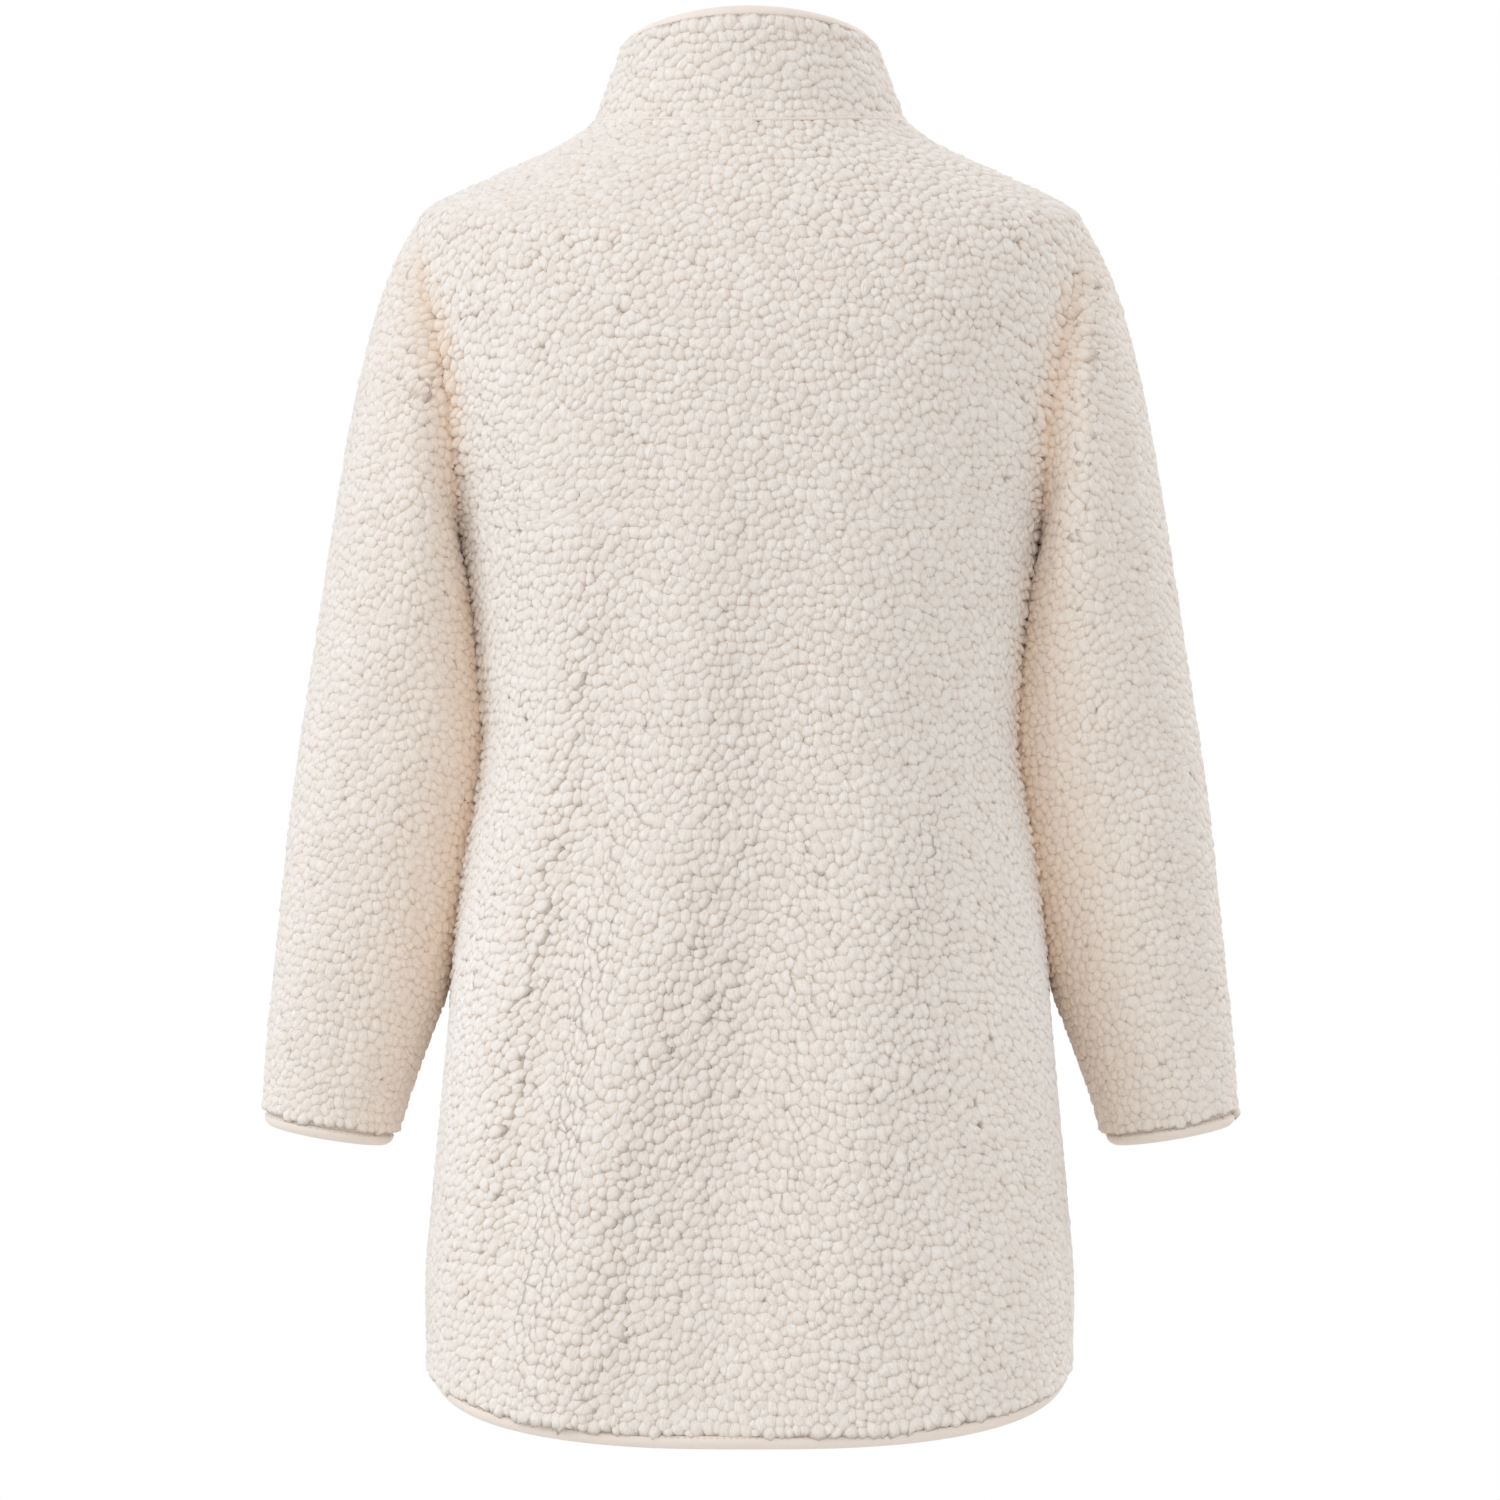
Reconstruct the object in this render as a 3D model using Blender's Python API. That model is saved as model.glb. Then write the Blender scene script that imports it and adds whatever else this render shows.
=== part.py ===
"""Longline sherpa jacket, hollow and filled out as if it were worn.

The garment stands in its worn pose with nobody in it: body, collar and sleeves
are cloth walls with open neck, cuffs and hem. The body and the collar are
patches of one surface of horizontal-ish rings, so that neighbouring pieces
share their seam lines. Each sleeve is a tube of slanted sections that starts
on the armhole which the body panels leave.

Metres, +Z up. The wearer faces -Y and the wearer's left arm is at +X. The
origin is at the base of the neck, where the shoulders carry the jacket.
"""

import math

import bpy
import numpy as np

# ------------------------------------------------------------ cloth and seams
WALL = 0.0070               # sherpa cloth: pile and knitted backing together
SEAM_GAP = 0.0003           # space between two pieces along a seam
ARMHOLE_GAP = 0.0005        # the same at the armhole, where both edges curve
ZIP_OPENING = 0.0130        # between the two front edges, filled by the zip
BINDING_HEIGHT = 0.0080     # smooth band on cuffs and hem
COLLAR_BINDING_HEIGHT = 0.0068

# ------------------------------------------------------------- mesh fineness
SHOULDER_STEPS = 4          # rows from the neck seam to the shoulder point
ARMHOLE_STEPS = 12          # rows along half of the armhole
SIDE_STEPS = 14             # rows from the underarm to the hem
COLLAR_STEPS = 4
BACK_COLUMNS = 22
FRONT_COLUMNS = 11
SLEEVE_STEPS = 18
NECK_BAND_COLUMNS = 30
HEM_BAND_COLUMNS = 44

# ------------------------------------------------- body and collar, by rings
# Each ring is a rounded oval. z_side is its height over the side seam or the
# shoulder, z_back and z_front its height at the centre back and centre front.
RING_COLUMNS = ("z_side", "z_back", "z_front", "half_width",
                "depth_back", "depth_front", "squareness")
RINGS = {
    "collar edge":   (+0.0455, +0.0515, +0.0040, 0.0770, 0.0690, 0.0610, 2.00),
    "collar middle": (+0.0280, +0.0280, -0.0190, 0.0840, 0.0705, 0.0630, 2.00),
    "collar base":   (+0.0100, +0.0040, -0.0430, 0.0910, 0.0730, 0.0660, 2.00),
    "neck seam":     (-0.0040, -0.0120, -0.0600, 0.0970, 0.0770, 0.0700, 2.00),
    "neck slope":    (-0.0200, -0.0320, -0.0800, 0.1200, 0.0880, 0.0830, 2.00),
    "mid shoulder":  (-0.0400, -0.0590, -0.1040, 0.1640, 0.1050, 0.0990, 2.00),
    "shoulder":      (-0.0600, -0.0880, -0.1270, 0.2010, 0.1180, 0.1110, 2.05),
    "back width":    (-0.0950, -0.1230, -0.1540, 0.2080, 0.1280, 0.1210, 2.12),
    "blade":         (-0.1450, -0.1650, -0.1870, 0.2000, 0.1330, 0.1290, 2.20),
    "low armhole":   (-0.2000, -0.2090, -0.2190, 0.1880, 0.1330, 0.1340, 2.30),
    "underarm":      (-0.2550, -0.2570, -0.2590, 0.1760, 0.1300, 0.1340, 2.35),
    "ribs":          (-0.3200, -0.3200, -0.3210, 0.1660, 0.1240, 0.1270, 2.40),
    "waist":         (-0.3850, -0.3850, -0.3850, 0.1620, 0.1210, 0.1210, 2.40),
    "high hip":      (-0.4560, -0.4580, -0.4560, 0.1720, 0.1240, 0.1210, 2.40),
    "hip":           (-0.5420, -0.5470, -0.5440, 0.1826, 0.1310, 0.1250, 2.50),
    "thigh":         (-0.6300, -0.6440, -0.6370, 0.1906, 0.1370, 0.1300, 2.65),
    "low skirt":     (-0.7050, -0.7290, -0.7180, 0.1968, 0.1410, 0.1340, 2.85),
    "hem":           (-0.7580, -0.7880, -0.7760, 0.1962, 0.1420, 0.1350, 3.00),
}

# The armhole: a standing oval that the sleeve is set into.
ARMHOLE_TOP = RINGS["shoulder"][0]
ARMHOLE_BOTTOM = RINGS["underarm"][0]
ARMHOLE_DEPTH_BACK = 0.0620
ARMHOLE_DEPTH_FRONT = 0.0590

# --------------------------------------------------------- sleeve, by sections
# Each section runs from a point on the sleeve's outer line to one on its inner
# line; y_mid is how far forward or back it sits, half_depth its y half size.
SECTION_COLUMNS = ("x_out", "z_out", "x_in", "z_in", "y_mid", "half_depth")
SECTIONS = {
    "armhole":      (0.2000, -0.0600, 0.1760, -0.2550, +0.0015, 0.0605),
    "cap":          (0.2150, -0.0870, 0.1768, -0.2720, +0.0020, 0.0690),
    "upper arm":    (0.2290, -0.1230, 0.1710, -0.2900, +0.0020, 0.0735),
    "bicep":        (0.2430, -0.1790, 0.1665, -0.3130, +0.0010, 0.0735),
    "above elbow":  (0.2555, -0.2500, 0.1620, -0.3480, -0.0010, 0.0690),
    "elbow":        (0.2670, -0.3220, 0.1600, -0.3930, -0.0040, 0.0630),
    "forearm":      (0.2815, -0.4150, 0.1690, -0.4560, -0.0090, 0.0560),
    "low forearm":  (0.2915, -0.5000, 0.1845, -0.5250, -0.0160, 0.0510),
    "wrist":        (0.2995, -0.5700, 0.2050, -0.5840, -0.0240, 0.0460),
    "cuff":         (0.3030, -0.6130, 0.2195, -0.6280, -0.0300, 0.0430),
}

SLEEVE_CLEARANCE = 0.0012   # between a sleeve and the side of the body

# ------------------------------------------------------------------ soft folds
# A fold is a soft ridge (height above zero) or trough (below zero) that runs
# down the cloth from its top point to its bottom point. bow is how far its
# middle strays sideways.
FOLD_COLUMNS = ("x_top", "z_top", "x_bottom", "z_bottom", "bow", "width", "height")
BACK_FOLDS = {
    "left flute":          (+0.022, -0.190, +0.112, -0.785, -0.014, 0.020, +0.0046),
    "left valley":         (+0.060, -0.150, +0.146, -0.760, -0.007, 0.017, -0.0040),
    "left outer ridge":    (+0.098, -0.150, +0.178, -0.740, -0.008, 0.015, +0.0032),
    "middle valley":       (-0.016, -0.200, +0.026, -0.785, -0.016, 0.019, -0.0038),
    "right flute":         (-0.062, -0.180, -0.050, -0.785, -0.010, 0.022, +0.0040),
    "right valley":        (-0.112, -0.280, -0.138, -0.740, -0.002, 0.017, -0.0034),
    "left blade ridge":    (+0.140, -0.105, +0.124, -0.300, +0.000, 0.012, +0.0022),
    "right blade dip":     (-0.148, -0.120, -0.146, -0.250, +0.000, 0.012, -0.0026),
    "right hip swell":     (-0.152, -0.440, -0.172, -0.750, +0.000, 0.018, +0.0022),
}
FRONT_FOLDS = {
    "left chest dip":      (+0.140, -0.140, +0.128, -0.300, -0.003, 0.014, -0.0030),
    "left flute":          (+0.078, -0.330, +0.116, -0.760, -0.006, 0.018, +0.0034),
    "left valley":         (+0.052, -0.280, +0.064, -0.640, +0.004, 0.015, -0.0028),
    "left side valley":    (+0.134, -0.400, +0.150, -0.700, +0.002, 0.014, -0.0026),
    "right chest dip":     (-0.142, -0.130, -0.126, -0.290, +0.003, 0.014, -0.0030),
    "right flute":         (-0.090, -0.360, -0.122, -0.765, +0.005, 0.018, +0.0034),
    "right valley":        (-0.056, -0.260, -0.074, -0.690, -0.005, 0.016, -0.0030),
    "right side valley":   (-0.140, -0.430, -0.156, -0.720, -0.002, 0.014, -0.0026),
}
# On a sleeve the position is the angle round it in degrees (0 outside, 90 at
# the back, 180 inside, 270 at the front) and the share of its length.
SLEEVE_FOLD_COLUMNS = ("angle_top", "share_top", "angle_bottom", "share_bottom",
                       "width", "height")
SLEEVE_FOLDS_LEFT = {
    "back valley":      (62.0, 0.12, 74.0, 0.52, 0.013, -0.0030),
    "elbow dimple":     (100.0, 0.52, 70.0, 0.66, 0.012, -0.0026),
    "front valley":     (292.0, 0.14, 280.0, 0.55, 0.013, -0.0030),
    "front elbow fold": (250.0, 0.50, 290.0, 0.60, 0.010, -0.0034),
    "forearm ridge":    (40.0, 0.62, 60.0, 0.92, 0.014, +0.0020),
}
SLEEVE_FOLDS_RIGHT = {
    "back valley":      (60.0, 0.08, 70.0, 0.56, 0.012, -0.0044),
    "back ridge":       (92.0, 0.12, 96.0, 0.48, 0.012, +0.0026),
    "elbow dimple":     (72.0, 0.58, 92.0, 0.70, 0.012, -0.0030),
    "front valley":     (296.0, 0.12, 284.0, 0.50, 0.013, -0.0032),
    "front elbow fold": (254.0, 0.48, 292.0, 0.58, 0.010, -0.0034),
}

# ------------------------------------------------------------------------ zip
ZIP_TAPE_DEPTH = 0.0032     # of the tape's face below the pile
ZIP_TAPE_THICKNESS = 0.0012
ZIP_END_MARGIN = 0.0030     # the tapes stop this short of both outer edges
SLIDER_LENGTH = 0.0110
SLIDER_WIDTH = 0.0086
SLIDER_TAIL_WIDTH = 0.0066
SLIDER_THICKNESS = 0.0034
SLIDER_FROM_TOP = 0.0150    # its middle, measured down from the collar's edge
BRIDGE_WIDTH = 0.0018
BRIDGE_LENGTH = 0.0084
BRIDGE_CLEAR = 0.0030       # inside height under the bridge
BRIDGE_BAR = 0.0012
TAB_LENGTH = 0.0280
TAB_WIDTH = 0.0070
TAB_TIP_WIDTH = 0.0056
TAB_THICKNESS = 0.0012
TAB_EYE_LENGTH = 0.0056
TAB_EYE_WIDTH = 0.0036
TAB_BAR = 0.0012            # bar of the tab that hooks under the bridge
TAB_PLAY = 0.0006           # between that bar and the top of the bridge

# -------------------------------------------------------------------- colours
SHERPA_COLOUR = (0.80, 0.74, 0.68)
BINDING_COLOUR = (0.80, 0.73, 0.67)
ZIP_TAPE_COLOUR = (0.78, 0.71, 0.64)
ZIP_METAL_COLOUR = (0.76, 0.74, 0.70)


def clear_scene():
    """Remove whatever the opened file holds."""
    for thing in list(bpy.data.objects):
        bpy.data.objects.remove(thing, do_unlink=True)


def make_material(name, colour, roughness, metallic=0.0):
    """A plain Principled material."""
    material = bpy.data.materials.new(name)
    material.use_nodes = True
    shader = material.node_tree.nodes["Principled BSDF"]
    shader.inputs["Base Color"].default_value = (*colour, 1.0)
    shader.inputs["Roughness"].default_value = roughness
    shader.inputs["Metallic"].default_value = metallic
    return material


# ------------------------------------------------------------- smooth columns
def smooth_table(table, key_column, keys):
    """Read every column of a table at the given keys, along smooth curves.

    Between two rows each column follows a cubic whose slope at a row is that
    of the line through the row's two neighbours.
    """
    rows = np.array(sorted(table.values(), key=lambda row: row[key_column]))
    known = rows[:, key_column]
    slopes = np.empty_like(rows)
    slopes[1:-1] = (rows[2:] - rows[:-2]) / (known[2:] - known[:-2])[:, None]
    slopes[0] = (rows[1] - rows[0]) / (known[1] - known[0])
    slopes[-1] = (rows[-1] - rows[-2]) / (known[-1] - known[-2])
    keys = np.asarray(keys, dtype=float)
    index = np.clip(np.searchsorted(known, keys) - 1, 0, len(known) - 2)
    step = known[index + 1] - known[index]
    part = ((keys - known[index]) / step)[..., None]
    step = step[..., None]
    values = ((1 + 2 * part) * (1 - part) ** 2 * rows[index]
              + part * (1 - part) ** 2 * step * slopes[index]
              + part ** 2 * (3 - 2 * part) * rows[index + 1]
              + part ** 2 * (part - 1) * step * slopes[index + 1])
    return np.moveaxis(values, -1, 0)


# --------------------------------------------------------------- body surface
def body_point(z_side, turn):
    """Points of the body and collar surface, before any fold.

    turn is the angle round the ring: 0 at the wearer's left side, a quarter
    turn at the centre back, minus a quarter turn at the centre front.
    """
    _, z_back, z_front, half_width, depth_back, depth_front, squareness = (
        smooth_table(RINGS, 0, z_side))
    behind = np.sin(turn) >= 0
    depth = np.where(behind, depth_back, depth_front)
    z_middle = np.where(behind, z_back, z_front)
    across, along = np.abs(np.cos(turn)), np.abs(np.sin(turn))
    reach = (across ** squareness + along ** squareness) ** (-1 / squareness)
    return np.stack([half_width * np.cos(turn) * reach,
                     depth * np.sin(turn) * reach,
                     z_side + (z_middle - z_side) * (1 - across ** squareness)],
                    axis=-1)


def armhole_turn(z_side, depth_column, armhole_depth):
    """Angle at which a panel's edge meets the armhole, 0 above and below it."""
    columns = smooth_table(RINGS, 0, z_side)
    depth, squareness = columns[depth_column], columns[6]
    middle = (ARMHOLE_TOP + ARMHOLE_BOTTOM) / 2
    half_height = (ARMHOLE_TOP - ARMHOLE_BOTTOM) / 2
    share = np.clip((z_side - middle) / half_height, -1, 1)
    level = armhole_depth * np.sqrt(1 - share ** 2) / depth
    return np.arctan2(level, (1 - level ** squareness) ** (1 / squareness))


def fold_height(points, folds):
    """Height of the folds, added up, at each point of a body panel."""
    x, z = points[..., 0], points[..., 2]
    total = np.zeros_like(x)
    for x_top, z_top, x_bottom, z_bottom, bow, width, height in folds.values():
        share = np.clip((z - z_top) / (z_bottom - z_top), 0, 1)
        middle = x_top + (x_bottom - x_top) * share + bow * np.sin(math.pi * share)
        fade = np.sin(math.pi * share) ** 0.75
        total += height * fade * np.exp(-0.5 * ((x - middle) / width) ** 2)
    return total


def tube_normals(points):
    """Outward unit normals of a tube's grid, whose columns wrap round."""
    down = np.gradient(points, axis=0)
    around = np.roll(points, -1, axis=1) - np.roll(points, 1, axis=1)
    normals = np.cross(down, around)
    return normals / np.linalg.norm(normals, axis=-1, keepdims=True)


def body_normals(z_side, turn):
    """Outward unit normals of the smooth body surface."""
    small = 1e-4
    around = body_point(z_side, turn + small) - body_point(z_side, turn - small)
    upward = body_point(z_side + small, turn) - body_point(z_side - small, turn)
    normals = np.cross(around, upward)
    return normals / np.linalg.norm(normals, axis=-1, keepdims=True)


def square_at_zip(directions, columns):
    """Turn the directions in the columns next to the zip square to it."""
    directions[..., columns, 0] = 0
    return directions / np.linalg.norm(directions, axis=-1, keepdims=True)


# ---------------------------------------------------------------- wall meshes
def wall_object(name, outer, inner, closed, material):
    """One closed cloth wall between an outer and an inner grid of points."""
    rows, columns = outer.shape[:2]
    across = columns if closed else columns - 1
    inside = rows * columns

    def number(row, column):
        return row * columns + column % columns

    faces = []
    for row in range(rows - 1):
        for column in range(across):
            corners = (number(row, column), number(row, column + 1),
                       number(row + 1, column + 1), number(row + 1, column))
            faces.append(corners)
            faces.append(tuple(inside + corner for corner in reversed(corners)))
    for row, ahead in ((0, False), (rows - 1, True)):
        for column in range(across):
            first, second = number(row, column), number(row, column + 1)
            if ahead:
                first, second = second, first
            faces.append((second, first, inside + first, inside + second))
    if not closed:
        for column, ahead in ((0, True), (columns - 1, False)):
            for row in range(rows - 1):
                first, second = number(row, column), number(row + 1, column)
                if ahead:
                    first, second = second, first
                faces.append((second, first, inside + first, inside + second))
    points = np.concatenate([outer.reshape(-1, 3), inner.reshape(-1, 3)])
    return mesh_object(name, points, faces, material)


def signed_volume(points, faces):
    """Volume of a closed mesh, negative when its faces point inwards."""
    volume = 0.0
    for face in faces:
        for second, third in zip(face[1:], face[2:]):
            volume += np.dot(points[face[0]], np.cross(points[second], points[third]))
    return volume / 6


def mesh_object(name, points, faces, material):
    """A smooth-shaded object whose faces point outwards."""
    if signed_volume(points, faces) < 0:
        faces = [tuple(reversed(face)) for face in faces]
    mesh = bpy.data.meshes.new(name)
    mesh.from_pydata([tuple(point) for point in points], [], faces)
    mesh.materials.append(material)
    mesh.shade_smooth()
    mesh.set_sharp_from_angle(angle=math.radians(40))
    thing = bpy.data.objects.new(name, mesh)
    bpy.context.collection.objects.link(thing)
    return thing


# ---------------------------------------------------------------- body pieces
def shoulder_rows():
    """Heights of the rows from the neck seam to the shoulder point."""
    return np.linspace(RINGS["neck seam"][0], ARMHOLE_TOP, SHOULDER_STEPS + 1)


def armhole_rows():
    """Heights of the armhole's rows, evenly spread round its oval."""
    middle = (ARMHOLE_TOP + ARMHOLE_BOTTOM) / 2
    half_height = (ARMHOLE_TOP - ARMHOLE_BOTTOM) / 2
    return middle + half_height * np.cos(np.linspace(0, math.pi, ARMHOLE_STEPS + 1))


def panel_rows():
    """Heights of all rows of a body panel, from the neck seam to the hem."""
    side = np.linspace(ARMHOLE_BOTTOM, RINGS["hem"][0], SIDE_STEPS + 1)
    rows = np.concatenate([shoulder_rows(), armhole_rows()[1:], side[1:]])
    rows[0] -= SEAM_GAP / 2
    rows[-1] += SEAM_GAP / 2
    return rows


def panel_grid(z_side, first_turn, last_turn, columns, folds, zip_columns=()):
    """Outer and inner points of a body panel between two edge angles."""
    share = np.linspace(0, 1, columns + 1)[None, :]
    turn = first_turn[:, None] * (1 - share) + last_turn[:, None] * share
    level = np.repeat(z_side[:, None], columns + 1, axis=1)
    points = body_point(level, turn)
    normals = square_at_zip(body_normals(level, turn), list(zip_columns))
    calm = np.clip(np.minimum(share, 1 - share) * 6, 0, 1)
    points = points + normals * (fold_height(points, folds) * calm)[..., None]
    return points, points - WALL * normals


def build_back(material):
    """The back, cut in one piece."""
    rows = panel_rows()
    half_gap = SEAM_GAP / 2 / smooth_table(RINGS, 0, rows)[4]
    edge = armhole_turn(rows, 4, ARMHOLE_DEPTH_BACK) + half_gap
    outer, inner = panel_grid(rows, edge, math.pi - edge, BACK_COLUMNS, BACK_FOLDS)
    return wall_object("back", outer, inner, False, material)


def build_front(name, side, material):
    """One front; side is +1 for the wearer's left and -1 for the right."""
    rows = panel_rows()
    columns = smooth_table(RINGS, 0, rows)
    half_gap = SEAM_GAP / 2 / columns[5]
    edge = -armhole_turn(rows, 5, ARMHOLE_DEPTH_FRONT) - half_gap
    zip_edge = -np.arccos(ZIP_OPENING / 2 / columns[3])
    if side < 0:
        edge, zip_edge = -math.pi - edge, -math.pi - zip_edge
    outer, inner = panel_grid(rows, edge, zip_edge, FRONT_COLUMNS, FRONT_FOLDS, (-1,))
    return wall_object(name, outer, inner, False, material)


def neck_band_turns(z_side, columns):
    """Angles from one zip edge round the back to the other."""
    half_width = smooth_table(RINGS, 0, z_side)[3]
    edge = np.arccos(ZIP_OPENING / 2 / half_width)[:, None]
    share = np.linspace(0, 1, columns + 1)[None, :]
    return -edge * (1 - share) + (math.pi + edge) * share


def build_collar(material):
    """The stand collar, open at the centre front."""
    rows = np.linspace(RINGS["collar edge"][0], RINGS["neck seam"][0], COLLAR_STEPS + 1)
    rows[0] -= SEAM_GAP / 2
    rows[-1] += SEAM_GAP / 2
    turn = neck_band_turns(rows, NECK_BAND_COLUMNS)
    level = np.repeat(rows[:, None], turn.shape[1], axis=1)
    outer = body_point(level, turn)
    inner = outer - WALL * square_at_zip(body_normals(level, turn), [0, -1])
    return wall_object("collar", outer, inner, False, material)


# ------------------------------------------------------------------- bindings
def binding_profile(height):
    """Rows of a bound edge: run along the cloth, depth of both faces."""
    round_off = 0.0014
    return ((0.0, 0.0016, 0.0056),
            (height * 0.25, 0.0012, 0.0058),
            (height - round_off, 0.0014, 0.0056),
            (height, 0.0026, 0.0046))


def build_binding(name, edge_points, run, normals, height, closed, material):
    """A smooth band that carries on from a cloth edge along the unit run."""
    outer, inner = [], []
    for along, outer_depth, inner_depth in binding_profile(height):
        line = edge_points + run * along
        outer.append(line - normals * outer_depth)
        inner.append(line - normals * inner_depth)
    return wall_object(name, np.array(outer), np.array(inner), closed, material)


def build_body_binding(name, z_edge, upwards, height, columns, material):
    """The band along the collar's or the hem's edge, open at the front."""
    rows = np.array([z_edge])
    turn = neck_band_turns(rows, columns)
    level = np.full_like(turn, z_edge)
    step = 0.002 if upwards else -0.002
    edge = body_point(level, turn)[0]
    beyond = edge - body_point(level - step, turn)[0]
    run = square_at_zip(beyond, [0, -1])
    normals = square_at_zip(body_normals(level, turn)[0], [0, -1])
    edge = edge + run * SEAM_GAP / 2
    return build_binding(name, edge, run, normals, height, False, material)


# -------------------------------------------------------------------- sleeves
def armhole_ring():
    """The armhole's points and the body's normals there, for the left side.

    The ring starts at the shoulder point and runs down the back to the
    underarm and up the front.
    """
    rows = armhole_rows()
    back_turn = armhole_turn(rows, 4, ARMHOLE_DEPTH_BACK)
    front_turn = -armhole_turn(rows, 5, ARMHOLE_DEPTH_FRONT)
    level = np.concatenate([rows, rows[-2:0:-1]])
    turn = np.concatenate([back_turn, front_turn[-2:0:-1]])
    return body_point(level, turn), body_normals(level, turn)


def sleeve_sections(shares, angles):
    """Points of the plain section ovals at the given shares and angles."""
    names = list(SECTIONS)
    keyed = {name: (index, *SECTIONS[name]) for index, name in enumerate(names)}
    _, x_out, z_out, x_in, z_in, y_mid, half_depth = (
        smooth_table(keyed, 0, shares * (len(names) - 1)))
    swing, lean = np.cos(angles)[None, :], np.sin(angles)[None, :]
    x = (x_out + x_in)[:, None] / 2 + (x_out - x_in)[:, None] / 2 * swing
    z = (z_out + z_in)[:, None] / 2 + (z_out - z_in)[:, None] / 2 * swing
    y = y_mid[:, None] + half_depth[:, None] * lean
    return np.stack([x, y, z], axis=-1)


def sleeve_fold_height(shares, angles, folds):
    """Height of a sleeve's folds at each share of its length and angle."""
    share = shares[:, None]
    angle = np.degrees(angles)[None, :]
    total = np.zeros((len(shares), len(angles)))
    arm_radius = 0.057
    for angle_top, share_top, angle_low, share_low, width, height in folds.values():
        part = np.clip((share - share_top) / (share_low - share_top), 0, 1)
        middle = angle_top + (angle_low - angle_top) * part
        apart = np.radians((angle - middle + 180) % 360 - 180) * arm_radius
        fade = np.sin(math.pi * part)
        total += height * fade * np.exp(-0.5 * (apart / width) ** 2)
    return total


def beside_body(points):
    """Keep a sleeve's points just outside the body that they lie against."""
    _, _, _, half_width, depth_back, depth_front, squareness = (
        smooth_table(RINGS, 0, points[..., 2]))
    depth = np.where(points[..., 1] >= 0, depth_back, depth_front)
    share = np.clip(np.abs(points[..., 1]) / depth, 0, 1) ** squareness
    limit = half_width * (1 - share) ** (1 / squareness) + SLEEVE_CLEARANCE
    below = points[..., 2] < ARMHOLE_BOTTOM
    pushed = points.copy()
    pushed[..., 0] = np.where(below, np.maximum(points[..., 0], limit), points[..., 0])
    return pushed


def sleeve_grid(folds):
    """Outer points and normals of the left sleeve, from armhole to cuff."""
    armhole, body_normal = armhole_ring()
    count = len(armhole)
    angles = np.arange(count) * 2 * math.pi / count
    shares = np.linspace(0, 1, SLEEVE_STEPS + 1) ** 1.08
    points = sleeve_sections(shares, angles)
    fade = np.clip(1 - shares / 0.35, 0, 1) ** 2
    points = points + (armhole - points[0])[None] * fade[:, None, None]
    normals = tube_normals(points)
    points = points + normals * sleeve_fold_height(shares, angles, folds)[..., None]
    points = beside_body(points)
    centre = body_point(np.array([(ARMHOLE_TOP + ARMHOLE_BOTTOM) / 2]), np.zeros(1))
    inwards = centre - armhole
    inwards -= np.sum(inwards * body_normal, axis=-1, keepdims=True) * body_normal
    inwards /= np.linalg.norm(inwards, axis=-1, keepdims=True)
    points[0] = armhole + ARMHOLE_GAP * inwards
    normals = tube_normals(points)
    heading = points[1] - points[0]
    dips = np.sum(heading * body_normal, axis=-1) < 0
    normals[0] = np.where(dips[:, None], body_normal, normals[0])
    return points, normals


def mirrored(points, side):
    """Points for the wearer's left (+1) or, mirrored, for the right (-1)."""
    return points * np.array([side, 1, 1])


def build_sleeve(side, word, folds, cloth, band):
    """One sleeve and the binding of its cuff."""
    points, normals = sleeve_grid(folds)
    outer = mirrored(points, side)
    normals = mirrored(normals, side)
    wall_object(f"sleeve_{word}", outer, outer - WALL * normals, True, cloth)
    run = outer[-1] - outer[-2]
    run = run / np.linalg.norm(run, axis=-1, keepdims=True)
    edge = outer[-1] + run * SEAM_GAP
    build_binding(f"cuff_binding_{word}", edge, run, normals[-1],
                  BINDING_HEIGHT, True, band)


# ------------------------------------------------------------------------ zip
def front_line(z_side):
    """Centre-front points of the body and their outward normals."""
    turn = np.full_like(z_side, -math.pi / 2)
    return body_point(z_side, turn), body_normals(z_side, turn)


def zip_rows():
    """Row heights of the tapes, from near the collar's top to near the hem."""
    above = np.linspace(RINGS["collar edge"][0], RINGS["neck seam"][0], COLLAR_STEPS + 1)
    rows = np.concatenate([above[:-1], panel_rows()])
    rows[0] += COLLAR_BINDING_HEIGHT - ZIP_END_MARGIN
    rows[-1] -= BINDING_HEIGHT - ZIP_END_MARGIN
    return rows


def build_zip_tape(name, side, material):
    """One woven tape, the width that shows beside the centre front."""
    line, normals = front_line(zip_rows())
    near, far = SEAM_GAP / 2, ZIP_OPENING / 2 - SEAM_GAP
    offsets = np.array([[side * near, 0, 0], [side * far, 0, 0]])
    face = line[:, None, :] - normals[:, None, :] * ZIP_TAPE_DEPTH + offsets[None]
    back = face - normals[:, None, :] * ZIP_TAPE_THICKNESS
    return wall_object(name, face, back, False, material)


def slider_frame():
    """Origin, upward run and outward normal of the zip at the slider."""
    z_side = np.array([RINGS["collar edge"][0] - SLIDER_FROM_TOP])
    point, normal = front_line(z_side)
    point, normal = point[0], normal[0]
    run = np.cross(normal, (1.0, 0.0, 0.0))
    if run[2] < 0:
        run = -run
    return point, run, normal


def to_world(local, point, run, normal):
    """From (across, along the zip, out of the jacket) to world points."""
    local = np.asarray(local, dtype=float)
    return (point + local[:, :1] * np.array([1.0, 0.0, 0.0])
            + local[:, 1:2] * run + local[:, 2:3] * normal)


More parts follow.
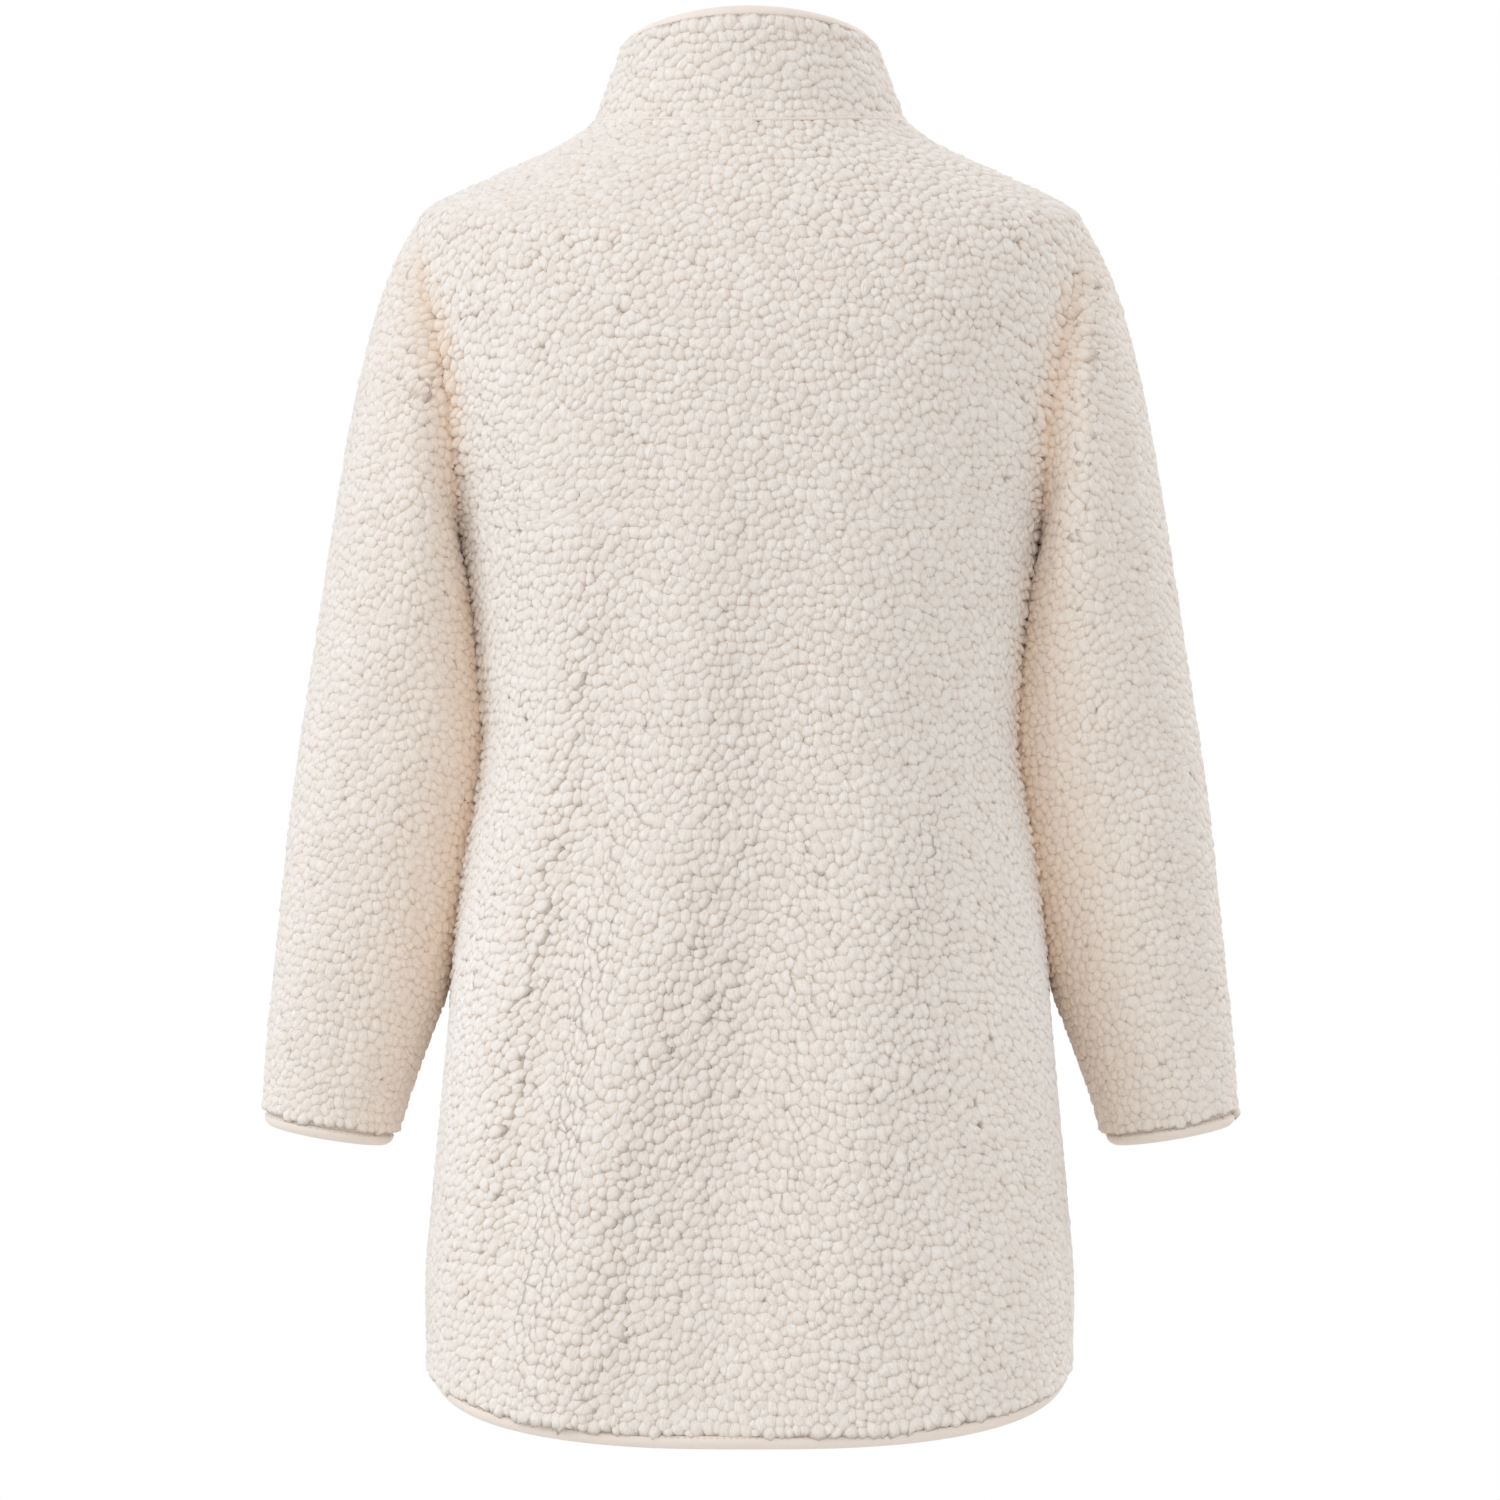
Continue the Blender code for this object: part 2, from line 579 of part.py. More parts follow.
def prism(name, outline, low, high, axis, place, material):
    """A closed prism: an outline in two local axes, extruded along the third."""
    others = [index for index in range(3) if index != axis]
    points = []
    for level in (low, high):
        for first, second in outline:
            local = [0.0, 0.0, 0.0]
            local[axis], local[others[0]], local[others[1]] = level, first, second
            points.append(local)
    count = len(outline)
    faces = [tuple(range(count)), tuple(reversed(range(count, 2 * count)))]
    for index in range(count):
        following = (index + 1) % count
        faces.append((following, index, count + index, count + following))
    return mesh_object(name, to_world(points, *place), faces, material)


def boolean(thing, other, operation):
    """Join or cut with another object, which then only guides the shape."""
    other.hide_render = True
    other.display_type = "WIRE"
    step = thing.modifiers.new(operation.lower(), "BOOLEAN")
    step.operation = operation
    step.object = other
    step.solver = "EXACT"


def bevel(thing, width, segments=2):
    """Round every edge that is sharper than 40 degrees."""
    step = thing.modifiers.new("rounding", "BEVEL")
    step.width = width
    step.segments = segments
    step.limit_method = "ANGLE"
    step.angle_limit = math.radians(40)


def build_slider(material):
    """The zip's slider, with the bridge that the pull tab hooks under."""
    place = slider_frame()
    base = -ZIP_TAPE_DEPTH + SEAM_GAP
    top = base + SLIDER_THICKNESS
    half, tail = SLIDER_WIDTH / 2, SLIDER_TAIL_WIDTH / 2
    reach = SLIDER_LENGTH / 2
    outline = [(-tail, -reach), (tail, -reach), (tail, -reach * 0.45),
               (half, reach * 0.35), (half * 0.86, reach * 0.85), (0.0, reach),
               (-half * 0.86, reach * 0.85), (-half, reach * 0.35),
               (-tail, -reach * 0.45)]
    slider = prism("zip_slider", outline, base, top, 2, place, material)
    bevel(slider, 0.0005)
    arch, opening = [], []
    for step in range(9):
        angle = math.pi * step / 8
        arch.append((BRIDGE_LENGTH / 2 * math.cos(angle),
                     top + (BRIDGE_CLEAR + BRIDGE_BAR) * math.sin(angle) ** 0.6))
        opening.append(((BRIDGE_LENGTH / 2 - BRIDGE_BAR) * math.cos(angle),
                        top + BRIDGE_CLEAR * math.sin(angle) ** 0.6))
    foot = top - 0.0008
    outline = ([(BRIDGE_LENGTH / 2, foot)] + arch + [(-BRIDGE_LENGTH / 2, foot)]
               + [(-BRIDGE_LENGTH / 2 + BRIDGE_BAR, foot)] + opening[::-1]
               + [(BRIDGE_LENGTH / 2 - BRIDGE_BAR, foot)])
    bridge = prism("bridge_guide", outline, -BRIDGE_WIDTH / 2, BRIDGE_WIDTH / 2,
                   0, place, material)
    boolean(slider, bridge, "UNION")
    return slider


def tab_pivot():
    """Where the tab's bar lies under the bridge, as (along, out)."""
    top = -ZIP_TAPE_DEPTH + SEAM_GAP + SLIDER_THICKNESS
    return (0.0, top + BRIDGE_CLEAR - TAB_BAR / 2 - TAB_PLAY)


def build_pull_tab(material):
    """The pull tab, hanging down over the zip from its bar."""
    place = slider_frame()
    along, out = tab_pivot()
    top = along + TAB_BAR / 2
    tip = top - TAB_LENGTH
    wide, narrow = TAB_WIDTH / 2, TAB_TIP_WIDTH / 2
    corner = 0.0016
    outline = [(-wide + corner, top), (wide - corner, top), (wide, top - corner),
               (wide, top - TAB_EYE_LENGTH - 2 * corner),
               (narrow, top - TAB_EYE_LENGTH - 4 * corner),
               (narrow, tip + corner), (narrow - corner, tip),
               (-narrow + corner, tip), (-narrow, tip + corner),
               (-narrow, top - TAB_EYE_LENGTH - 4 * corner),
               (-wide, top - TAB_EYE_LENGTH - 2 * corner), (-wide, top - corner)]
    low, high = out - TAB_THICKNESS / 2, out + TAB_THICKNESS / 2
    tab = prism("zip_pull_tab", outline, low, high, 2, place, material)
    eye_half = TAB_EYE_WIDTH / 2
    eye = [(-eye_half, top - TAB_BAR), (eye_half, top - TAB_BAR),
           (eye_half, top - TAB_BAR - TAB_EYE_LENGTH),
           (-eye_half, top - TAB_BAR - TAB_EYE_LENGTH)]
    cutter = prism("eye_guide", eye, low - 0.001, high + 0.001, 2, place, material)
    boolean(tab, cutter, "DIFFERENCE")
    return tab


# ----------------------------------------------------------------- the jacket
def main():
    clear_scene()
    cloth = make_material("sherpa", SHERPA_COLOUR, 0.95)
    band = make_material("binding", BINDING_COLOUR, 0.8)
    tape = make_material("zip_tape", ZIP_TAPE_COLOUR, 0.8)
    metal = make_material("zip_metal", ZIP_METAL_COLOUR, 0.35, metallic=1.0)

    build_back(cloth)
    build_front("front_left", +1, cloth)
    build_front("front_right", -1, cloth)
    build_collar(cloth)
    build_sleeve(+1, "left", SLEEVE_FOLDS_LEFT, cloth, band)
    build_sleeve(-1, "right", SLEEVE_FOLDS_RIGHT, cloth, band)
    build_body_binding("collar_binding", RINGS["collar edge"][0], True,
                       COLLAR_BINDING_HEIGHT, NECK_BAND_COLUMNS, band)
    build_body_binding("hem_binding", RINGS["hem"][0], False,
                       BINDING_HEIGHT, HEM_BAND_COLUMNS, band)
    build_zip_tape("zip_tape_left", +1, tape)
    build_zip_tape("zip_tape_right", -1, tape)
    build_slider(metal)
    build_pull_tab(metal)


main()
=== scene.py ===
# %% [markdown]
# # A longline sherpa jacket
# The jacket stands hollow and filled out, as if somebody wore it, and the camera
# looks at its back. Sherpa is a knitted backing whose deep pile has been tumbled
# until its fibres roll up into small curls. Its looks come from two things: the
# soft form of the cloth, and thousands of curls that each catch the light.
#
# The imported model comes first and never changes. Everything below is placed in
# its frame: metres, +Z up, the wearer faces -Y and the wearer's left arm is at +X.

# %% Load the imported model
import math

import bpy
import numpy as np
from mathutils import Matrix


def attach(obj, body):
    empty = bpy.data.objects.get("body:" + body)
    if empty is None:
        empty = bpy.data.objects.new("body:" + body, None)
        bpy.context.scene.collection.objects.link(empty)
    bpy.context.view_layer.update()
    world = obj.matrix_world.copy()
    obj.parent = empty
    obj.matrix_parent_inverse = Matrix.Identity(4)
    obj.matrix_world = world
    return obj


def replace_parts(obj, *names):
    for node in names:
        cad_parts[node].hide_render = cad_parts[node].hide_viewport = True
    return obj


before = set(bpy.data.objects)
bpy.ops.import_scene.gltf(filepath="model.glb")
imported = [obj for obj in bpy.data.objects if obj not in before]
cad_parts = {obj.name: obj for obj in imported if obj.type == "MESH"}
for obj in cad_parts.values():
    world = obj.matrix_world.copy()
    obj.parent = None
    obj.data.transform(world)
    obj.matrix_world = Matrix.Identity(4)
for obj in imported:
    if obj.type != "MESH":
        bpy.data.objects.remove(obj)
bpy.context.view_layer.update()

print("packed nodes:", sorted(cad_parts))

# %% [markdown]
# ## Camera
# The photograph looks straight at the centre back from a few metres away. Its
# focal length in pixels and the jacket's height in the picture fix the camera's
# distance, so the camera is set from those numbers and from nothing else.

# %% Camera at the photograph's viewing angle
PHOTO_SIZE = 1500            # pixels on each side of the photograph
FOCAL_PIXELS = 4228          # the focal length, measured in those pixels
SENSOR_WIDTH = 36.0          # millimetres
CAMERA_DISTANCE = 2.6
CAMERA_HEIGHT = -0.3887

camera = bpy.data.objects.new("camera", bpy.data.cameras.new("camera"))
camera.data.sensor_width = SENSOR_WIDTH
camera.data.lens = SENSOR_WIDTH * FOCAL_PIXELS / PHOTO_SIZE
camera.location = (0, CAMERA_DISTANCE, CAMERA_HEIGHT)
camera.rotation_euler = (math.radians(90), 0, math.radians(180))
bpy.context.collection.objects.link(camera)
bpy.context.scene.camera = camera
bpy.context.scene.view_settings.view_transform = "Standard"
print(f"camera lens {camera.data.lens:.1f} mm")

# %% [markdown]
# ## Node helpers
# Colours are written as the sRGB hex values that a colour picker shows, and one
# function turns them into the linear values that the shader wants. One more
# function adds a node: its values, its links and its settings in a single call.

# %% Colours and nodes
def linear(hex_colour):
    """sRGB hex to linear RGBA: c / 12.92 when c is small, else ((c + 0.055) / 1.055)^2.4."""
    srgb = np.array([int(hex_colour[at:at + 2], 16) for at in (1, 3, 5)]) / 255
    light = np.where(srgb <= 0.04045, srgb / 12.92, ((srgb + 0.055) / 1.055) ** 2.4)
    return (*light.tolist(), 1.0)


def add_node(tree, kind, values=None, links=None, **settings):
    """Add a node, set its unlinked inputs, link other nodes' outputs to it."""
    node = tree.nodes.new(kind)
    for name, value in settings.items():
        setattr(node, name, value)
    for key, value in (values or {}).items():
        node.inputs[key].default_value = value
    for key, output in (links or {}).items():
        tree.links.new(output, node.inputs[key])
    return node


def start_material(name, colour, **shader_values):
    """A material with its Principled shader; the names of uniform inputs use _ for a space."""
    material = bpy.data.materials.new(name)
    material.use_nodes = True
    material.diffuse_color = linear(colour)
    shader = material.node_tree.nodes["Principled BSDF"]
    shader.inputs["Base Color"].default_value = linear(colour)
    for key, value in shader_values.items():
        shader.inputs[key.replace("_", " ")].default_value = value
    return material, material.node_tree, shader


print("linear #808080 is", round(linear("#808080")[0], 3))

# %% [markdown]
# ## Studio light
# The photograph has the even light of a white studio: no cast shadow, a slightly
# brighter left side, and soft shading only where the cloth turns away. A white
# world gives the even part and the white background. It shines less than it
# shows, and least from below, which leaves room for large lamps to model the form.

# %% White studio world
LIGHT_FROM_BELOW = 0.34      # how strongly the white room lights the jacket from below
LIGHT_FROM_ABOVE = 0.86      # and from above

world = bpy.data.worlds.new("white_studio")
world.use_nodes = True
bpy.context.scene.world = world
room = world.node_tree
background = room.nodes["Background"]
background.inputs["Color"].default_value = (1, 1, 1, 1)
direction = add_node(room, "ShaderNodeTexCoord")
parts = add_node(room, "ShaderNodeSeparateXYZ", None, {0: direction.outputs["Generated"]})
strength = add_node(room, "ShaderNodeMapRange",
                    {"From Min": -1.0, "From Max": 1.0,
                     "To Min": LIGHT_FROM_BELOW, "To Max": LIGHT_FROM_ABOVE},
                    {"Value": parts.outputs["Z"]})
seen = add_node(room, "ShaderNodeLightPath")
level = add_node(room, "ShaderNodeMapRange", {"To Max": 1.0},
                 {"Value": seen.outputs["Is Camera Ray"], "To Min": strength.outputs["Result"]})
room.links.new(level.outputs["Result"], background.inputs["Strength"])


# %% Soft boxes
def soft_box(name, place, target, size, power, colour):
    """A square area light at place that faces target."""
    lamp = bpy.data.lights.new(name, "AREA")
    lamp.size = size
    lamp.energy = power
    lamp.color = linear(colour)[:3]
    light = bpy.data.objects.new(name, lamp)
    light.location = place
    step = np.array(target, dtype=float) - np.array(place, dtype=float)
    flat = math.hypot(step[0], step[1])
    light.rotation_euler = (math.atan2(flat, -step[2]), 0, math.atan2(-step[0], step[1]))
    bpy.context.collection.objects.link(light)


CHEST = (0.0, 0.0, -0.40)
# place, size, watts and colour; the photograph's left side has the key light
LAMPS = {
    "key_light":       ((3.2, 1.8, 1.2), 1.6, 37.0, "#FFFFFF"),
    "fill_light":      ((-0.4, 3.2, 1.0), 2.4, 17.0, "#FFFBF6"),
    "left_rim_light":  ((2.6, -0.5, 0.4), 2.0, 11.0, "#E0EDFF"),
    "right_rim_light": ((-2.6, -0.5, 0.4), 2.0, 4.0, "#FFF6EA"),
    "front_key":       ((-2.8, -2.1, 1.3), 1.8, 33.0, "#FFFFFF"),
    "front_fill":      ((0.4, -3.2, 1.0), 2.4, 17.0, "#FFFBF6"),
}
for name, (place, size, power, colour) in LAMPS.items():
    soft_box(name, place, CHEST, size, power, colour)
print(len(LAMPS), "soft boxes")

# %% [markdown]
# ## Floor
# A plain pale disc lies well below the hem. It is staging and no part of the
# jacket: it only sends a little light back up, and the photograph's view passes
# above it.

# %% Floor
FLOOR_HEIGHT = -1.30
FLOOR_RADIUS = 2.40          # small enough to stay under the photograph's view
FLOOR_SIDES = 96

around = np.arange(FLOOR_SIDES) * 2 * math.pi / FLOOR_SIDES
disc = bpy.data.meshes.new("floor")
disc.from_pydata(
    np.stack([FLOOR_RADIUS * np.cos(around), FLOOR_RADIUS * np.sin(around),
              np.full(FLOOR_SIDES, FLOOR_HEIGHT)], axis=-1).tolist(),
    [], [tuple(range(FLOOR_SIDES))])
floor = bpy.data.objects.new("floor", disc)
floor.data.materials.append(start_material("matt_white_floor", "#E2E0DD", Roughness=0.9)[0])
bpy.context.collection.objects.link(floor)
print("floor radius", FLOOR_RADIUS)

# %% [markdown]
# ## The form of the body
# A pattern cutter thinks of a body in rings: neck, shoulder, underarm, waist and
# hem. The cloth here is one surface through such rings. Each is a rounded oval,
# between a circle and a rounded box, and every number glides from ring to ring.
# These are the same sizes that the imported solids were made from, so the cloth
# lies exactly where the solids are.

# %% Rings of the body and collar
# height at the side, the back and the front, half width, depth back and front, squareness
RINGS = {
    "collar edge":   (+0.0455, +0.0515, +0.0040, 0.0770, 0.0690, 0.0610, 2.00),
    "collar middle": (+0.0280, +0.0280, -0.0190, 0.0840, 0.0705, 0.0630, 2.00),
    "collar base":   (+0.0100, +0.0040, -0.0430, 0.0910, 0.0730, 0.0660, 2.00),
    "neck seam":     (-0.0040, -0.0120, -0.0600, 0.0970, 0.0770, 0.0700, 2.00),
    "neck slope":    (-0.0200, -0.0320, -0.0800, 0.1200, 0.0880, 0.0830, 2.00),
    "mid shoulder":  (-0.0400, -0.0590, -0.1040, 0.1640, 0.1050, 0.0990, 2.00),
    "shoulder":      (-0.0600, -0.0880, -0.1270, 0.2010, 0.1180, 0.1110, 2.05),
    "back width":    (-0.0950, -0.1230, -0.1540, 0.2080, 0.1280, 0.1210, 2.12),
    "blade":         (-0.1450, -0.1650, -0.1870, 0.2000, 0.1330, 0.1290, 2.20),
    "low armhole":   (-0.2000, -0.2090, -0.2190, 0.1880, 0.1330, 0.1340, 2.30),
    "underarm":      (-0.2550, -0.2570, -0.2590, 0.1760, 0.1300, 0.1340, 2.35),
    "ribs":          (-0.3200, -0.3200, -0.3210, 0.1660, 0.1240, 0.1270, 2.40),
    "waist":         (-0.3850, -0.3850, -0.3850, 0.1620, 0.1210, 0.1210, 2.40),
    "high hip":      (-0.4560, -0.4580, -0.4560, 0.1720, 0.1240, 0.1210, 2.40),
    "hip":           (-0.5420, -0.5470, -0.5440, 0.1826, 0.1310, 0.1250, 2.50),
    "thigh":         (-0.6300, -0.6440, -0.6370, 0.1906, 0.1370, 0.1300, 2.65),
    "low skirt":     (-0.7050, -0.7290, -0.7180, 0.1968, 0.1410, 0.1340, 2.85),
    "hem":           (-0.7580, -0.7880, -0.7760, 0.1962, 0.1420, 0.1350, 3.00),
}
ARMHOLE_TOP = RINGS["shoulder"][0]
ARMHOLE_BOTTOM = RINGS["underarm"][0]
ARMHOLE_MIDDLE = (ARMHOLE_TOP + ARMHOLE_BOTTOM) / 2
ARMHOLE_HALF_HEIGHT = (ARMHOLE_TOP - ARMHOLE_BOTTOM) / 2
ARMHOLE_DEPTH_BACK = 0.0620
ARMHOLE_DEPTH_FRONT = 0.0590
ZIP_OPENING = 0.0130
WALL = 0.0070                # pile and backing together
SEAM_GAP = 0.0003            # between the edges of two pieces that are sewn together


# %% Smooth curves through a table
def smooth_table(rows, keys):
    """Every column of a table at the given keys of its first column.

    Between two rows a column follows the cubic whose slope at each row is the
    slope of the line through that row's neighbours.
    """
    rows = np.array(sorted(rows))
    known = rows[:, 0]
    slopes = np.empty_like(rows)
    slopes[1:-1] = (rows[2:] - rows[:-2]) / (known[2:] - known[:-2])[:, None]
    slopes[0] = (rows[1] - rows[0]) / (known[1] - known[0])
    slopes[-1] = (rows[-1] - rows[-2]) / (known[-1] - known[-2])
    index = np.clip(np.searchsorted(known, keys) - 1, 0, len(known) - 2)
    step = known[index + 1] - known[index]
    part = ((keys - known[index]) / step)[..., None]
    step = step[..., None]
    values = ((1 + 2 * part) * (1 - part) ** 2 * rows[index]
              + part * (1 - part) ** 2 * step * slopes[index]
              + part ** 2 * (3 - 2 * part) * rows[index + 1]
              + part ** 2 * (part - 1) * step * slopes[index + 1])
    return np.moveaxis(values, -1, 0)


# columns of the rings
HALF_WIDTH, DEPTH_BACK, DEPTH_FRONT, SQUARENESS = 3, 4, 5, 6


def ring_numbers(z_side):
    """Every column of the rings at a height at the side."""
    return smooth_table(RINGS.values(), z_side)


def body_point(z_side, turn):
    """Points of the body: (half width cos t, depth sin t) over (|cos t|^e + |sin t|^e)^(1/e).

    t is 0 at the wearer's left side, a quarter turn at the centre back and minus
    a quarter turn at the centre front. The height slides from that of the side
    to that of the middle as 1 - |cos t|^e.
    """
    _, z_back, z_front, half_width, depth_back, depth_front, squareness = ring_numbers(z_side)
    behind = np.sin(turn) >= 0
    depth = np.where(behind, depth_back, depth_front)
    z_middle = np.where(behind, z_back, z_front)
    across, along = np.abs(np.cos(turn)), np.abs(np.sin(turn))
    reach = (across ** squareness + along ** squareness) ** (-1 / squareness)
    return np.stack([half_width * np.cos(turn) * reach, depth * np.sin(turn) * reach,
                     z_side + (z_middle - z_side) * (1 - across ** squareness)], axis=-1)


def unit(vectors):
    """Vectors of length one."""
    return vectors / np.linalg.norm(vectors, axis=-1, keepdims=True)


SMALL_STEP = 1e-4            # radians or metres


def body_normals(z_side, turn):
    """Outward normals: the cross product of a small step round and a small step up."""
    around = body_point(z_side, turn + SMALL_STEP) - body_point(z_side, turn - SMALL_STEP)
    upward = body_point(z_side + SMALL_STEP, turn) - body_point(z_side - SMALL_STEP, turn)
    return unit(np.cross(around, upward))


def armhole_turn(z_side, depth_column, armhole_depth):
    """Angle where a panel meets the armhole, which is an oval seen from the side.

    With s running from -1 to 1 up the oval, its depth is a sqrt(1 - s^2), and the
    angle is the one at which the body's ring has that depth.
    """
    columns = ring_numbers(z_side)
    squareness = columns[SQUARENESS]
    share = np.clip((z_side - ARMHOLE_MIDDLE) / ARMHOLE_HALF_HEIGHT, -1, 1)
    level = armhole_depth * np.sqrt(1 - share ** 2) / columns[depth_column]
    return np.arctan2(level, (1 - level ** squareness) ** (1 / squareness))


waist = body_point(np.array([RINGS["waist"][0]]), np.array([math.pi / 2]))[0]
print("centre back at the waist:", waist.round(4))

# %% [markdown]
# ## Folds
# Thick sherpa makes no sharp creases. It hangs in soft ridges and troughs, long
# down the skirt and short beside the arms, and no two are alike. Each fold is a
# row in a table: where it starts and ends, how far it strays, how wide and how
# high it is. Each side has two tables. The folds of the first one are in the
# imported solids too. Those of the second one are added here: on the skirt they
# deepen the first ones to what the photograph's light shows, and the others are
# low drags and ridges that only soften the look.

# %% Folds of the back and the fronts
# x and z at the top, x and z at the bottom, bow, width, height
BACK_FOLDS = {
    "left flute":          (+0.022, -0.190, +0.112, -0.785, -0.014, 0.020, +0.0046),
    "left valley":         (+0.060, -0.150, +0.146, -0.760, -0.007, 0.017, -0.0040),
    "left outer ridge":    (+0.098, -0.150, +0.178, -0.740, -0.008, 0.015, +0.0032),
    "middle valley":       (-0.016, -0.200, +0.026, -0.785, -0.016, 0.019, -0.0038),
    "right flute":         (-0.062, -0.180, -0.050, -0.785, -0.010, 0.022, +0.0040),
    "right valley":        (-0.112, -0.280, -0.138, -0.740, -0.002, 0.017, -0.0034),
    "left blade ridge":    (+0.140, -0.105, +0.124, -0.300, +0.000, 0.012, +0.0022),
    "right blade dip":     (-0.148, -0.120, -0.146, -0.250, +0.000, 0.012, -0.0026),
    "right hip swell":     (-0.152, -0.440, -0.172, -0.750, +0.000, 0.018, +0.0022),
}
BACK_SMALL_FOLDS = {
    "shoulder drag left":  (+0.150, -0.100, +0.086, -0.235, +0.004, 0.009, -0.0010),
    "shoulder drag right": (-0.152, -0.110, -0.092, -0.225, -0.003, 0.009, -0.0010),
    "centre nip":          (+0.018, -0.300, -0.012, -0.392, +0.003, 0.007, -0.0012),
    "left waist ridge":    (+0.128, -0.330, +0.092, -0.470, +0.004, 0.008, +0.0012),
    "right waist ridge":   (-0.122, -0.350, -0.074, -0.500, -0.004, 0.008, +0.0012),
    "left flute swell":    (+0.068, -0.440, +0.128, -0.850, -0.004, 0.017, +0.0076),
    "left valley sag":     (+0.100, -0.400, +0.162, -0.800, -0.003, 0.016, -0.0022),
    "left outer swell":    (+0.136, -0.400, +0.190, -0.770, +0.000, 0.015, +0.0028),
    "middle valley sag":   (-0.004, -0.440, +0.030, -0.850, -0.004, 0.022, -0.0044),
    "right flute swell":   (-0.064, -0.400, -0.050, -0.840, -0.004, 0.022, +0.0022),
    "right skirt ridge":   (-0.118, -0.560, -0.130, -0.770, -0.002, 0.010, +0.0012),
}
FRONT_FOLDS = {
    "left chest dip":      (+0.140, -0.140, +0.128, -0.300, -0.003, 0.014, -0.0030),
    "left flute":          (+0.078, -0.330, +0.116, -0.760, -0.006, 0.018, +0.0034),
    "left valley":         (+0.052, -0.280, +0.064, -0.640, +0.004, 0.015, -0.0028),
    "left side valley":    (+0.134, -0.400, +0.150, -0.700, +0.002, 0.014, -0.0026),
    "right chest dip":     (-0.142, -0.130, -0.126, -0.290, +0.003, 0.014, -0.0030),
    "right flute":         (-0.090, -0.360, -0.122, -0.765, +0.005, 0.018, +0.0034),
    "right valley":        (-0.056, -0.260, -0.074, -0.690, -0.005, 0.016, -0.0030),
    "right side valley":   (-0.140, -0.430, -0.156, -0.720, -0.002, 0.014, -0.0026),
}
FRONT_SMALL_FOLDS = {
    "left armhole drag":   (+0.146, -0.120, +0.082, -0.250, -0.003, 0.009, -0.0010),
    "right armhole drag":  (-0.150, -0.130, -0.090, -0.235, +0.003, 0.009, -0.0010),
    "left waist ridge":    (+0.120, -0.340, +0.070, -0.480, +0.004, 0.008, +0.0011),
    "right waist ridge":   (-0.126, -0.360, -0.080, -0.450, -0.003, 0.008, +0.0011),
    "left skirt trough":   (+0.090, -0.540, +0.098, -0.760, +0.003, 0.009, -0.0012),
    "right skirt trough":  (-0.096, -0.600, -0.104, -0.765, -0.003, 0.009, -0.0012),
}


FOLD_FADE = 0.75             # below 1, a fold is nearly as high towards its ends


def fold_height(points, folds):
    """Sum over the folds of height * sin(pi s)^fade * exp(-(x - middle)^2 / 2 width^2).

    s runs from 0 at a fold's top to 1 at its bottom.
    """
    x, z = points[..., 0], points[..., 2]
    total = np.zeros_like(x)
    for x_top, z_top, x_bottom, z_bottom, bow, width, height in folds.values():
        share = np.clip((z - z_top) / (z_bottom - z_top), 0, 1)
        middle = x_top + (x_bottom - x_top) * share + bow * np.sin(math.pi * share)
        fade = np.sin(math.pi * share) ** FOLD_FADE
        total += height * fade * np.exp(-0.5 * ((x - middle) / width) ** 2)
    return total


print(len(BACK_FOLDS) + len(BACK_SMALL_FOLDS), "folds on the back")

# %% [markdown]
# ## Panels as grids
# A panel is a grid: its rows run round the body and its columns run down it,
# spread evenly between two edges. The edges bow apart where the armhole is cut.
# A grid keeps its outward normals beside its points, because the cloth's two
# faces and every curl are placed along them.

# %% Grids of the body panels
SHOULDER_ROWS = 12
ARMHOLE_ROWS = 30
SIDE_ROWS = 66
PANEL_COLUMNS = 64
COLLAR_ROWS = 12
COLLAR_COLUMNS = 90
SEAM_CALM = 6                # folds fade out within a sixth of the width from a seam
ZIP_EDGES = [0, -1]          # the columns at the zip, of a piece that runs round to it


def square_at_zip(directions, columns):
    """Turn the directions in the columns next to the zip square to it."""
    directions[..., columns, 0] = 0
    return unit(directions)


def within_seams(rows):
    """Rows whose first and last one keep half a seam's gap."""
    rows[0] -= SEAM_GAP / 2
    rows[-1] += SEAM_GAP / 2
    return rows


def panel_rows():
    """Side heights of a panel's rows, from the neck seam to the hem.

    Those of the armhole are spaced as a cosine, so they are even round its oval.
    """
    arc = np.cos(np.linspace(0, math.pi, ARMHOLE_ROWS + 1))
    shoulder = np.linspace(RINGS["neck seam"][0], ARMHOLE_TOP, SHOULDER_ROWS + 1)
    side = np.linspace(ARMHOLE_BOTTOM, RINGS["hem"][0], SIDE_ROWS + 1)
    armhole = ARMHOLE_MIDDLE + ARMHOLE_HALF_HEIGHT * arc
    return within_seams(np.concatenate([shoulder, armhole[1:], side[1:]]))


def panel_grid(rows, first_turn, last_turn, columns, folds, zip_columns=()):
    """Points and normals of a panel between two angles in each row.

    A point is the body's point plus the folds' height along its normal, and the
    folds fade out towards the seams.
    """
    share = np.linspace(0, 1, columns + 1)[None, :]
    turn = first_turn[:, None] * (1 - share) + last_turn[:, None] * share
    level = np.repeat(rows[:, None], columns + 1, axis=1)
    points = body_point(level, turn)
    normals = square_at_zip(body_normals(level, turn), list(zip_columns))
    calm = np.clip(np.minimum(share, 1 - share) * SEAM_CALM, 0, 1)
    points = points + normals * (fold_height(points, folds) * calm)[..., None]
    return points, normals


def back_grid():
    """The back: from the armhole edge on the left to the one on the right."""
    rows = panel_rows()
    half_gap = SEAM_GAP / 2 / ring_numbers(rows)[DEPTH_BACK]
    edge = armhole_turn(rows, DEPTH_BACK, ARMHOLE_DEPTH_BACK) + half_gap
    return panel_grid(rows, edge, math.pi - edge, PANEL_COLUMNS,
                      BACK_FOLDS | BACK_SMALL_FOLDS)


